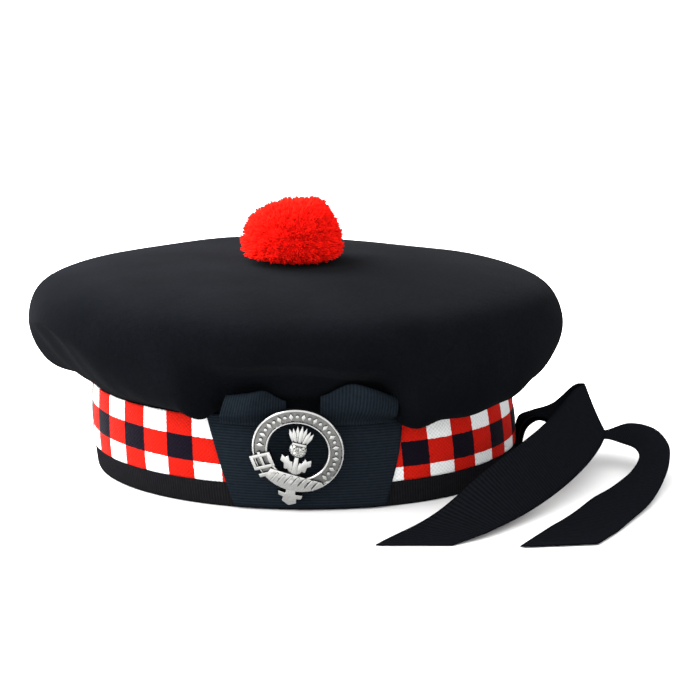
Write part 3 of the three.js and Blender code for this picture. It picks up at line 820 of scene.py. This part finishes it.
def cut_yarn(colours):
    """Cut woollen yarn: matt and soft, each end a little lighter or deeper than the next, with painted shade
    deepening each end towards its root and on the core
    """
    material, tree, surface = start_material("cut_yarn")
    shade = add_node(tree, "ShaderNodeAttribute", attribute_name="shade")
    tint = add_node(
        tree, "ShaderNodeMix",
        {
            MIX_SHARE: shade.outputs["Fac"],
            MIX_FIRST: (*colours.yarn_deep, 1),
            MIX_SECOND: (*colours.yarn, 1),
        },
        data_type="RGBA",
    )
    feed(tree, surface, {"Base Color": tint.outputs[MIX_RESULT], "Roughness": 0.9, "Specular IOR Level": 0})
    return material


def pale_floor(colours):
    """Matt painted board: pale and even, with hardly any shine"""
    material, tree, surface = start_material("pale_floor")
    feed(tree, surface, {"Base Color": (*colours.floor, 1), "Roughness": 0.9, "Specular IOR Level": 0.1})
    return material


class BONNET_OT_crown(Operator):
    """Raises the felt body from its lower edge, closes it at the top and settles it"""

    bl_idname = "bonnet.crown"
    bl_label = "Felt Crown"

    def execute(self, context):
        form = Form(context.scene.bonnet_sizes)
        felt, crown = form.felt_outer, form.crown_radius
        rows = [
            Ring(felt, RIBBON + GAP),
            Ring(felt, 2.5),
            Ring(felt, 10),
            Ring(felt, 21),
            Ring(felt, 32),
            Ring(felt, 39.5),
            Ring(felt + 0.3, 41.8),
            Ring(felt + 2.2, 43.4),
            Ring(felt + 8.5, 44.2),
            Ring(felt + 15.5, 46),
            Ring(felt + 21.5, 50),
            Ring(crown - 2, 57),
            Ring(crown, EQUATOR),
            Ring(crown - 0.6, 73),
            Ring(crown - 3.6, 82),
            Ring(crown - 12, 88.8),
            Ring(90, 92.2),
            Ring(75, 94.3),
            Ring(60, 95.8),
            Ring(44, 96.8),
            Ring(28, 97.4),
            Ring(14, 97.7),
            Ring(5, 97.8),
        ]
        obj = ring_wall(rows, segments=120)
        bpy.ops.mesh.edge_face_add()
        bpy.ops.mesh.poke()
        close_mesh(obj)
        subdivide(obj, 1)
        reshape(obj, around(form.settle))
        subdivide(obj, 1)
        ruffle(obj, depth=0.5, spread=34, seed=3)
        thicken(obj, FELT)
        material = felt_wool(context.scene.bonnet_colours)
        finish_piece(obj, "bonnet_crown", [material], "crown")
        return {"FINISHED"}


class BONNET_OT_dicing(Operator):
    """Wraps the diced band round the headband, each square a little raised"""

    bl_idname = "bonnet.dicing"
    bl_label = "Diced Band"

    def execute(self, context):
        sizes = context.scene.bonnet_sizes
        form = Form(sizes)
        foot = BAND_FOOT + GAP
        tall = BAND_TOP - foot
        angles = np.linspace(-math.pi / 2, 1.5 * math.pi, num=1441)
        ring = np.array([form.band(form.band_outer, angle, DICE_MEASURED) for angle in angles])
        arc = np.concatenate([[0], np.cumsum(np.linalg.norm(np.diff(ring, axis=0), axis=1))])
        columns = round(arc[-1] * MM / sizes.dice)

        def angle_at(u):
            return np.interp((DICE_SEAM + u * arc[-1]) % arc[-1], arc, angles)

        def rows_at(angle, v):
            return 1 + (foot + v * tall - DICE_LINE - DICE_SLOPE * math.cos(angle)) / DICE_TALL

        def place(u, v):
            angle = angle_at(u)
            across = u * columns % 1
            up = rows_at(angle, v) % 1
            pillow = (1 - (2 * across - 1) ** 4) * (1 - (2 * up - 1) ** 4)
            return form.band(form.band_outer - DICE_SUNK + DICE_PILLOW * pillow, angle, foot + v * tall)

        obj = cloth_sheet(
            "diced_wool_band", across=columns * 6, along=30, place=place, flat=(columns, 1), closed=True
        )
        for loop in obj.data.uv_layers["UVMap"].data:
            loop.uv.y = rows_at(angle_at(loop.uv.x / columns), loop.uv.y)
        thicken(obj, DICING - DICE_SUNK)
        material = diced_wool(context.scene.bonnet_colours)
        finish_piece(obj, "diced_wool_band", [material], "diced_band")
        return {"FINISHED"}


class BONNET_OT_binding(Operator):
    """Folds the binding ribbon round the lower edge"""

    bl_idname = "bonnet.binding"
    bl_label = "Rim Binding"

    def execute(self, context):
        form = Form(context.scene.bonnet_sizes)
        outer = form.binding_outer
        fold = [Ring(form.head_radius + row.radius, row.height) for row in BINDING_FOLD]
        fold += [Ring(outer - row.radius, row.height) for row in reversed(BINDING_FOLD)]
        lengths = [0]
        for low, high in zip(fold, fold[1:]):
            lengths.append(lengths[-1] + math.hypot(high.radius - low.radius, high.height - low.height))
        round_the_rim = 2 * math.pi * outer

        def place(u, v):
            along = v * lengths[-1]
            radius = np.interp(along, lengths, [row.radius for row in fold])
            height = np.interp(along, lengths, [row.height for row in fold])
            return form.band(radius, 2 * math.pi * u, height)

        flat = (round_the_rim, lengths[-1])
        obj = cloth_sheet("grosgrain_binding", across=192, along=36, place=place, flat=flat, closed=True)
        for loop in obj.data.uv_layers["UVMap"].data:
            loop.uv = (loop.uv[1], loop.uv[0])
        thicken(obj, RIBBON_THICKNESS)
        material = grosgrain("grosgrain_binding", context.scene.bonnet_colours.binding)
        finish_piece(obj, "grosgrain_binding", [material], "rim_binding")
        return {"FINISHED"}


class BONNET_OT_cockade(Operator):
    """Lays the cockade's flat leaf on the band and puffs its two loops above it"""

    bl_idname = "bonnet.cockade"
    bl_label = "Ribbon Cockade"

    def execute(self, context):
        form = Form(context.scene.bonnet_sizes)
        # Painted light: the cockade takes the lighter, lit tone of the ribbon
        material = grosgrain("lit_cockade_grosgrain", context.scene.bonnet_colours.cockade)
        self.leaf(form, material)
        for node, loop in LOOPS.items():
            self.loop(form, material, node, loop)
        return {"FINISHED"}

    def leaf(self, form, material):
        """The leaf, flat behind the badge and softly pleated towards its sides"""

        def place(u, v):
            left, right = (lerp(foot, top, v) for foot, top in zip(LEAF_FOOT_ENDS, LEAF_TOP_ENDS))
            along = lerp(left, right + LEAF_BOW * v * math.sin(math.pi * v), u)
            pleat = 0.5 + 0.5 * math.cos(math.pi * abs(along) / PLEAT_HALF)
            free = smooth(abs(along), PLEAT_FROM, PLEAT_FULL)
            out = GAP + RIBBON_THICKNESS + LEAF_CLEAR + PLEAT_DEPTH * pleat * free
            return form.beside_band(along, lerp(LEAF_FOOT, LEAF_TOP, v), out)

        wide = LEAF_TOP_ENDS[1] - LEAF_TOP_ENDS[0]
        tall = LEAF_TOP - LEAF_FOOT
        obj = cloth_sheet("cockade_leaf", across=64, along=30, place=place, flat=(wide, tall))
        thicken(obj, RIBBON_THICKNESS)
        finish_piece(obj, "cockade_leaf", [material], "cockade_tails")

    def loop(self, form, material, node, loop):
        """A loop of ribbon, pinched beside the badge, that leans out and falls towards its outer end"""

        def place(u, v):
            turn = 2 * math.pi * u
            share = 0.5 + loop.outer * (v - 0.5)
            free = lerp(LOOP_PINCH, 1, smooth(share, 0, LOOP_FREE))
            lean = LOOP_LEAN * free
            inner = lerp(LOOP_INNER, 1, smooth(share, 0, LOOP_MIDDLE))
            tall = loop.depth * (inner - loop.arch * smooth(share, LOOP_MIDDLE, LOOP_ARCH_END))
            up = tall * (1 - math.cos(turn)) / 2
            pinch = lerp(LOOP_FOLD, 1, smooth(up, 0, LOOP_SWELL * tall))
            wave = math.sin(CREASE_PACE * share + CREASE_SLANT * up / tall)
            crease = CREASE_DEPTH * wave * (1 - share) * math.sin(turn)
            out = loop.fullness * free * pinch * math.sin(turn) + crease
            foot = GAP + RIBBON + GAP + LOOP_PINCH * loop.fullness
            height = LOOP_FOOT + up * math.cos(lean) - out * math.sin(lean)
            reach = foot + up * math.sin(lean) + out * math.cos(lean)
            slant = loop.slant * share * up / loop.depth
            return form.beside_band(lerp(loop.start, loop.end, v) - loop.outer * slant, height, reach)

        flat = (2 * loop.depth, loop.end - loop.start)
        obj = cloth_sheet(node, across=48, along=24, place=place, flat=flat, closed=True)
        thicken(obj, RIBBON_THICKNESS, offset=1)
        subdivide(obj, 1)
        finish_piece(obj, node + "_ribbon", [material], node)


class BONNET_OT_badge(Operator):
    """Casts the strap, buckle, tip and thistle of the badge flat, then lays it on the cockade"""

    bl_idname = "bonnet.badge"
    bl_label = "Cast Badge"

    def execute(self, context):
        colours = context.scene.bonnet_colours
        form = Form(context.scene.bonnet_sizes)
        bright = cast_metal("polished_white_metal", colours.metal, low=0.16, high=0.36)
        dark = cast_metal("oxidised_and_shaded_metal", colours.oxide_and_shade, low=0.45, high=0.6)
        dull = cast_metal("satin_white_metal", colours.satin, low=0.4, high=0.55)
        metals = [bright, dark, dull]
        pieces = [self.strap(), *self.ornaments(), *self.buckle(), *self.strap_end(), *self.thistle()]
        for piece in pieces:
            for metal in metals:
                piece.data.materials.append(metal)
            for face in piece.data.polygons:
                # Every side face takes the dark metal: oxide in the hollows between the raised parts, and
                # painted shade on all the other sides
                side = abs(face.normal.z) < STEEP
                sunk = piece is pieces[0] and face.center.z < (STRAP_FLOOR + NEAR) * MM
                face.material_index = metals.index(dark if side else dull if sunk else bright)
        bpy.ops.object.select_all(action="DESELECT")
        for piece in pieces:
            piece.select_set(True)
        context.view_layer.objects.active = pieces[0]
        bpy.ops.object.join()
        badge = context.object
        back = GAP + RIBBON + GAP
        tilt = Matrix.Rotation(-BADGE_TILT, 3, "Z")

        def place(point):
            flat = tilt @ point
            stand = flat.y + BADGE_TIP
            out = back + stand * math.sin(BADGE_LEAN) + flat.z * math.cos(BADGE_LEAN)
            height = stand * math.cos(BADGE_LEAN) - BADGE_TIP - flat.z * math.sin(BADGE_LEAN)
            return form.beside_band(BADGE_ALONG + BADGE_NARROW * flat.x, BADGE_HEIGHT + height, out)

        reshape(badge, place)
        finish_piece(badge, "cast_badge", metals, "badge")
        make_active(badge)
        bpy.ops.object.shade_smooth_by_angle(angle=BADGE_CREASE)
        return {"FINISHED"}

    def strap(self):
        """The strap's ring, with a sunk ground between two raised edges"""
        inner, outer = STRAP_INNER, STRAP_OUTER
        section = [
            Ring(inner, 0),
            Ring(inner, BADGE_RELIEF - STRAP_ROUND),
            Ring(inner + STRAP_ROUND, BADGE_RELIEF),
            Ring(inner + STRAP_EDGE - STRAP_SLOPE, BADGE_RELIEF),
            Ring(inner + STRAP_EDGE, STRAP_FLOOR),
            Ring(outer - STRAP_EDGE, STRAP_FLOOR),
            Ring(outer - STRAP_EDGE + STRAP_SLOPE, BADGE_RELIEF),
            Ring(outer - STRAP_ROUND, BADGE_RELIEF),
            Ring(outer, BADGE_RELIEF - STRAP_ROUND),
            Ring(outer, 0),
        ]
        obj = ring_wall(section, segments=128)
        bpy.ops.mesh.select_all(action="DESELECT")
        bpy.ops.mesh.select_non_manifold()
        bpy.ops.mesh.bridge_edge_loops()
        return close_mesh(obj)

    def ornaments(self):
        """Lozenges and pellets in turn along the strap's upper arc"""
        turns = [math.tau * k / PELLET_SIDES for k in range(PELLET_SIDES)]
        pellet = [(PELLET_RADIUS * math.cos(turn), PELLET_RADIUS * math.sin(turn)) for turn in turns]
        long, wide = LOZENGE_HALF
        lozenge = [(long, 0), (0, wide), (-long, 0), (0, -wide)]
        models = [self.plate(outline, BADGE_RELIEF, FINE_EDGE) for outline in (lozenge, pellet)]
        made = []
        for i in range(ORNAMENTS):
            piece = copy_of(models[i % 2])
            spin = Matrix.Rotation(lerp(*ORNAMENT_ARC, i / (ORNAMENTS - 1)), 3, "Z")
            reshape(piece, lambda point: spin @ (point + Vector((STRAP_MIDDLE, 0, 0))))
            made.append(piece)
        for model in models:
            bpy.data.objects.remove(model)
        return made

    def plate(self, outline, depth, edge=PLATE_EDGE):
        """A plate of that outline with its upper edge rounded off"""
        obj = mesh_object("plate", [(x, y, 0) for x, y in outline], [list(range(len(outline)))])
        bpy.ops.object.mode_set(mode="EDIT")
        bpy.ops.mesh.select_all(action="SELECT")
        bpy.ops.mesh.extrude_region_move(TRANSFORM_OT_translate={"value": (0, 0, depth * MM)})
        bpy.ops.mesh.select_all(action="SELECT")
        bpy.ops.mesh.normals_make_consistent(inside=False)
        bpy.ops.object.mode_set(mode="OBJECT")
        apply_modifier(
            obj, "BEVEL", width=edge * MM, segments=2, limit_method="ANGLE", angle_limit=math.radians(50)
        )
        return obj

    def bar(self, bar, lean=0):
        """A straight bar, leaning over in degrees"""
        turn = Matrix.Rotation(math.radians(lean), 2)
        middle = Vector((bar.x, bar.y))
        ends = ((-1, -1), (1, -1), (1, 1), (-1, 1))
        corners = [turn @ Vector((a * bar.width / 2, b * bar.length / 2)) + middle for a, b in ends]
        return self.plate(corners, bar.thickness, FINE_EDGE)

    def buckle(self):
        """The buckle's frame, its prong and the strap's keeper"""
        made = [self.bar(bar) for bar in BUCKLE_BARS]
        turn = Matrix.Rotation(BUCKLE_TURN, 3, "Z")
        for piece in made:
            reshape(piece, lambda point: turn @ (point + Vector((STRAP_MIDDLE, 0, 0))))
        return made

    def strap_end(self):
        """The strap's end, laid across the foot of the ring and finished in a trefoil tip"""
        reach = STRAP_OUTER - STRAP_END_INSET
        shares = [k / STRAP_END_STEPS for k in range(STRAP_END_STEPS + 1)]
        arc = [math.radians(lerp(*STRAP_END_ARC, share)) for share in shares]
        outline = STRAP_END_TOP + [(reach * math.cos(turn), reach * math.sin(turn)) for turn in arc]
        made = [self.plate(outline, STRAP_END_RELIEF)]
        for k in range(CORDS):
            made.append(self.bar(CORD._replace(x=lerp(*CORD_ENDS, k / (CORDS - 1))), CORD_LEAN))
        mirrored = [(-x, y) for x, y in reversed(TIP_HALF) if x > 0]
        made.append(self.plate(TIP_HALF + mirrored, BADGE_RELIEF))
        return made

    def thistle(self):
        """Stem, two lobed leaves, scaled head, collar and a tuft of blades"""
        leaf = [(LEAF_SLIM * x, y) for x, y in LEAF_OUTLINE]
        other_leaf = [(-x, y) for x, y in reversed(leaf)]
        stem = STEM_HALF + [(-x, y) for x, y in reversed(STEM_HALF)]
        made = [self.plate(stem, STEM_RELIEF)]
        made += [self.plate(outline, LEAF_RELIEF) for outline in (leaf, other_leaf)]
        bpy.ops.object.select_all(action="DESELECT")
        bpy.ops.mesh.primitive_uv_sphere_add(segments=12, ring_count=10, radius=HEAD_RADIUS * MM)
        head = bpy.context.object
        bpy.ops.object.mode_set(mode="EDIT")
        bpy.ops.mesh.select_all(action="SELECT")
        bpy.ops.transform.resize(value=(1, 1, HEAD_FLAT))
        bpy.ops.mesh.inset(thickness=SCALE_INSET * MM, depth=SCALE_RISE * MM, use_individual=True)
        bpy.ops.object.mode_set(mode="OBJECT")
        reshape(head, lambda point: Vector((point.x, point.y, max(point.z, 0.0))))
        made.append(head)
        made.append(self.bar(COLLAR))
        foot, shoulder = BLADE_HALF
        for i in range(BLADES):
            lean = lerp(-BLADE_SPREAD, BLADE_SPREAD, i / (BLADES - 1))
            long = lerp(BLADE_LONG, BLADE_SHORT, abs(lean) / BLADE_SPREAD)
            high = long * BLADE_SHOULDER
            tuft = [(-foot, 0), (foot, 0), (shoulder, high), (0, long), (-shoulder, high)]
            blade = self.plate(tuft, BLADE_RELIEF + BLADE_OVERLAP * (i % 2), FINE_EDGE)
            turn = Matrix.Rotation(math.radians(-lean), 3, "Z")
            reshape(blade, lambda point: turn @ point + Vector((BLADE_STEP * lean, COLLAR.y, 0)))
            made.append(blade)
        return made


class BONNET_OT_toorie(Operator):
    """Packs thousands of cut yarn ends round a core, in small tufts"""

    bl_idname = "bonnet.toorie"
    bl_label = "Toorie"

    def execute(self, context):
        sizes = context.scene.bonnet_sizes
        yarn = self.yarn(sizes.yarn_ends, sizes.yarn / MM)
        core = self.core()
        bpy.ops.object.select_all(action="DESELECT")
        core.select_set(True)
        yarn.select_set(True)
        context.view_layer.objects.active = yarn
        # Painted shade: the core has no shade value of its own, so it takes the deep yarn colour
        bpy.ops.object.join()
        reshape(yarn, lambda point: point + TOORIE_CENTRE)
        material = cut_yarn(context.scene.bonnet_colours)
        finish_piece(yarn, "toorie_yarn", [material], "toorie")
        return {"FINISHED"}

    def skin(self, ways):
        """Where a ray from the middle leaves the loaf-shaped pompom, for an array of directions"""
        level = np.hypot(ways[:, 0], ways[:, 1]) / (TOORIE_RADIUS - TOORIE_TRIM)
        upright = np.where(ways[:, 2] > 0, ways[:, 2] / TOORIE_ABOVE, -ways[:, 2] / TOORIE_BELOW)
        square = TOORIE_SQUARE + TOORIE_SQUARER * ways[:, 0] / np.hypot(ways[:, 0], ways[:, 1]).clip(1e-6)
        square = np.where(ways[:, 2] > 0, square, TOORIE_FOOT_SQUARE)
        reach = (level**square + upright**square) ** (-1 / square)
        skin = ways * reach[:, None]
        lumps = np.array([noise.noise(Vector(way) * TOORIE_LUMPS) for way in ways])
        skin *= 1 + TOORIE_LUMP * lumps[:, None]
        rise = np.maximum(skin[:, 2], 0) / TOORIE_ABOVE
        skin[:, 2] *= 1 + TOORIE_TILT * skin[:, 0] / TOORIE_RADIUS
        skin[:, 0] -= TOORIE_SLANT * rise * np.maximum(skin[:, 0], 0)
        return skin

    def core(self):
        """A plain core that no light shows through"""
        bpy.ops.object.select_all(action="DESELECT")
        bpy.ops.mesh.primitive_uv_sphere_add(segments=40, ring_count=24, radius=1)
        core = bpy.context.object
        ways = np.array([vertex.co.normalized() for vertex in core.data.vertices])
        for vertex, point in zip(core.data.vertices, self.skin(ways)):
            vertex.co = Vector(point) * CORE_SHARE * MM
        return core

    def spread(self, count):
        """Directions spread evenly over a ball"""
        up = 1 - 2 * (np.arange(count) + 0.5) / count
        turn = np.arange(count) * math.pi * (3 - math.sqrt(5))
        flat = np.sqrt(1 - up * up)
        return np.stack([flat * np.cos(turn), flat * np.sin(turn), up], axis=1)

    def yarn(self, count, thickness):
        """Cut ends, each a thin three-sided stick that leans to the middle of its tuft"""
        rng = np.random.default_rng(7)
        sides = 3
        ways = self.spread(count)
        tufts = self.spread(TUFTS) + rng.normal(0, TUFT_STRAY, (TUFTS, 3))
        nearest = np.array([int(np.argmin(((tufts - way) ** 2).sum(axis=1))) for way in ways])
        apart = np.linalg.norm(ways - tufts[nearest], axis=1) * math.sqrt(TUFTS) / 2
        gathered = ways + (tufts[nearest] - ways) * TUFT_PULL
        gathered /= np.linalg.norm(gathered, axis=1)[:, None]
        tuft_height = rng.uniform(-TUFT_RISE, TUFT_RISE, TUFTS)
        tall = 1 + tuft_height[nearest] - TUFT_RISE * apart**2 + rng.uniform(-END_RISE, END_RISE, count)
        tips = self.skin(gathered) * tall[:, None] + rng.normal(0, END_STRAY, (count, 3))
        roots = self.skin(ways) * ROOT_SHARE
        axis = tips - roots
        axis /= np.linalg.norm(axis, axis=1)[:, None]
        side = np.cross(axis, rng.normal(size=(count, 3)))
        side /= np.linalg.norm(side, axis=1)[:, None]
        other = np.cross(axis, side)
        thick = thickness / 2 * rng.uniform(1 - YARN_UNEVEN, 1 + YARN_UNEVEN, count)[:, None]
        rings = []
        for middle, share in ((roots, 1.0), (tips, END_TAPER)):
            for k in range(sides):
                spoke = 2 * math.pi * k / sides
                rings.append(middle + thick * share * (math.cos(spoke) * side + math.sin(spoke) * other))
        points = np.stack(rings, axis=1).reshape(-1, 3)
        cell = [[0, 1, 4, 3], [1, 2, 5, 4], [2, 0, 3, 5], [2, 1, 0], [3, 4, 5]]
        faces = [[i * 2 * sides + corner for corner in face] for i in range(count) for face in cell]
        obj = mesh_object("toorie_yarn", points.tolist(), faces)
        tuft_tone = rng.uniform(*TUFT_TONES, TUFTS)
        tone = np.clip(tuft_tone[nearest] + rng.uniform(-END_TONE, END_TONE, count), 0, 1)
        # Painted shade: the root of each end takes only a share of its tone, so the yarn is darker deep in
        # the toorie
        shade = np.stack([tone * ROOT_TONE] * sides + [tone] * sides, axis=1).reshape(-1)
        layer = obj.data.attributes.new("shade", "FLOAT", "POINT")
        layer.data.foreach_set("value", shade.astype(np.float32))
        return obj


def through(points, share):
    """A point on the smooth curve through some points, its pace set by the square root of their gaps"""
    stretched = [2 * points[0] - points[1], *points, 2 * points[-1] - points[-2]]
    at = min(int(share * (len(points) - 1)), len(points) - 2)
    t = share * (len(points) - 1) - at
    p0, p1, p2, p3 = stretched[at:at + 4]
    d0, d1, d2 = ((b - a).length ** 0.5 for a, b in ((p0, p1), (p1, p2), (p2, p3)))
    m1 = ((p1 - p0) / d0 - (p2 - p0) / (d0 + d1) + (p2 - p1) / d1) * d1
    m2 = ((p2 - p1) / d1 - (p3 - p1) / (d1 + d2) + (p3 - p2) / d2) * d1
    return p1 + m1 * t + (3 * (p2 - p1) - 2 * m1 - m2) * t**2 + (2 * (p1 - p2) + m1 + m2) * t**3


class BONNET_OT_tails(Operator):
    """Lays the two ribbon tails from the seam at the nape to their cut ends"""

    bl_idname = "bonnet.tails"
    bl_label = "Ribbon Tails"

    def execute(self, context):
        # Painted shade: the tails take the darker, shaded tone of the same ribbon
        material = grosgrain("shaded_tail_grosgrain", context.scene.bonnet_colours.tails)
        for node, rows in TAILS.items():
            self.tail(node, rows, material)
        return {"FINISHED"}

    def tail(self, node, rows, material):
        """A tail between the smooth curves through both ends of its rows"""
        edges = []
        for side in (-0.5, 0.5):
            points = []
            for row in rows:
                heading, tilt = math.radians(row.heading), math.radians(row.tilt)
                level = math.cos(tilt)
                across = Vector((level * math.cos(heading), level * math.sin(heading), math.sin(tilt)))
                points.append(Vector((row.x, row.y, row.z)) + across * side * row.span)
            edges.append(points)

        def place(u, v):
            return through(edges[0], v).lerp(through(edges[1], v), u)

        shares = [j / TAIL_STEPS for j in range(TAIL_STEPS + 1)]
        middle = [(through(edges[0], share) + through(edges[1], share)) / 2 for share in shares]
        length = sum((b - a).length for a, b in zip(middle, middle[1:]))
        width = rows[0].span
        obj = cloth_sheet(node, across=12, along=TAIL_STEPS, place=place, flat=(width, length))
        ruffle(obj, depth=0.35, spread=22)
        thicken(obj, RIBBON_THICKNESS)
        reshape(obj, lambda point: Vector((point.x, point.y, max(point.z, TAIL_LOWEST))))
        finish_piece(obj, node + "_grosgrain", [material], node)


class BONNET_OT_stage(Operator):
    """Sets the pale floor, the soft studio light and the camera"""

    bl_idname = "bonnet.stage"
    bl_label = "Stage"

    def execute(self, context):
        scene = context.scene
        bpy.ops.object.select_all(action="DESELECT")
        bpy.ops.mesh.primitive_plane_add(size=FLOOR_SIZE)
        floor = context.object
        floor.name = "pale_floor"
        floor.data.materials.append(pale_floor(scene.bonnet_colours))
        self.sky(scene)
        for box in SOFT_BOXES:
            self.soft_box(*box)
        self.camera(scene)
        scene.view_settings.view_transform = "Standard"
        return {"FINISHED"}

    def sky(self, scene):
        """An even white dome"""
        world = bpy.data.worlds.new("white_dome")
        scene.world = world
        world.use_nodes = True
        tree = world.node_tree
        tree.nodes.clear()
        light = add_node(tree, "ShaderNodeBackground", {"Color": (1, 1, 1, 1), "Strength": DOME})
        add_node(tree, "ShaderNodeOutputWorld", {"Surface": light.outputs[0]})

    def soft_box(self, name, place, size, watts):
        """A square soft box turned to the bonnet"""
        light = bpy.data.lights.new(name, "AREA")
        light.size = size
        light.energy = watts
        lamp = bpy.data.objects.new(name, light)
        bpy.context.scene.collection.objects.link(lamp)
        lamp.location = place
        lamp.rotation_euler = (LIGHT_AIM - Vector(place)).to_track_quat("-Z", "Y").to_euler()

    def camera(self, scene):
        """A camera turned to the bonnet, with a long lens"""
        lens = bpy.data.cameras.new("camera")
        lens.lens = 135
        lens.sensor_width = 36
        lens.clip_start = 0.01
        camera = bpy.data.objects.new("camera", lens)
        scene.collection.objects.link(camera)
        back = Vector((0, -math.cos(CAMERA_RISE), math.sin(CAMERA_RISE)))
        camera.location = CAMERA_AIM + back * CAMERA_BACK
        camera.rotation_euler = back.to_track_quat("Z", "Y").to_euler()
        scene.camera = camera


class BONNET_PT_panel(Panel):
    """Lists the bonnet's pieces, sizes and colours"""

    bl_label = "Bonnet"
    bl_idname = "BONNET_PT_panel"
    bl_space_type = "VIEW_3D"
    bl_region_type = "UI"
    bl_category = "Bonnet"

    def draw(self, context):
        for operator in OPERATORS:
            self.layout.operator(operator.bl_idname)
        for group in (context.scene.bonnet_sizes, context.scene.bonnet_colours):
            column = self.layout.column()
            for name in group.__annotations__:
                column.prop(group, name)


OPERATORS = (
    BONNET_OT_stage,
    BONNET_OT_tails,
    BONNET_OT_crown,
    BONNET_OT_dicing,
    BONNET_OT_binding,
    BONNET_OT_cockade,
    BONNET_OT_badge,
    BONNET_OT_toorie,
)
CLASSES = (BonnetSizes, BonnetColours, *OPERATORS, BONNET_PT_panel)


def register():
    for cls in CLASSES:
        bpy.utils.register_class(cls)
    bpy.types.Scene.bonnet_sizes = PointerProperty(type=BonnetSizes)
    bpy.types.Scene.bonnet_colours = PointerProperty(type=BonnetColours)


def unregister():
    del bpy.types.Scene.bonnet_colours
    del bpy.types.Scene.bonnet_sizes
    for cls in reversed(CLASSES):
        bpy.utils.unregister_class(cls)


def main():
    register()
    bpy.ops.bonnet.stage()
    bpy.ops.bonnet.tails()
    bpy.ops.bonnet.crown()
    bpy.ops.bonnet.dicing()
    bpy.ops.bonnet.binding()
    bpy.ops.bonnet.cockade()
    bpy.ops.bonnet.badge()
    bpy.ops.bonnet.toorie()


if __name__ == "__main__":
    main()
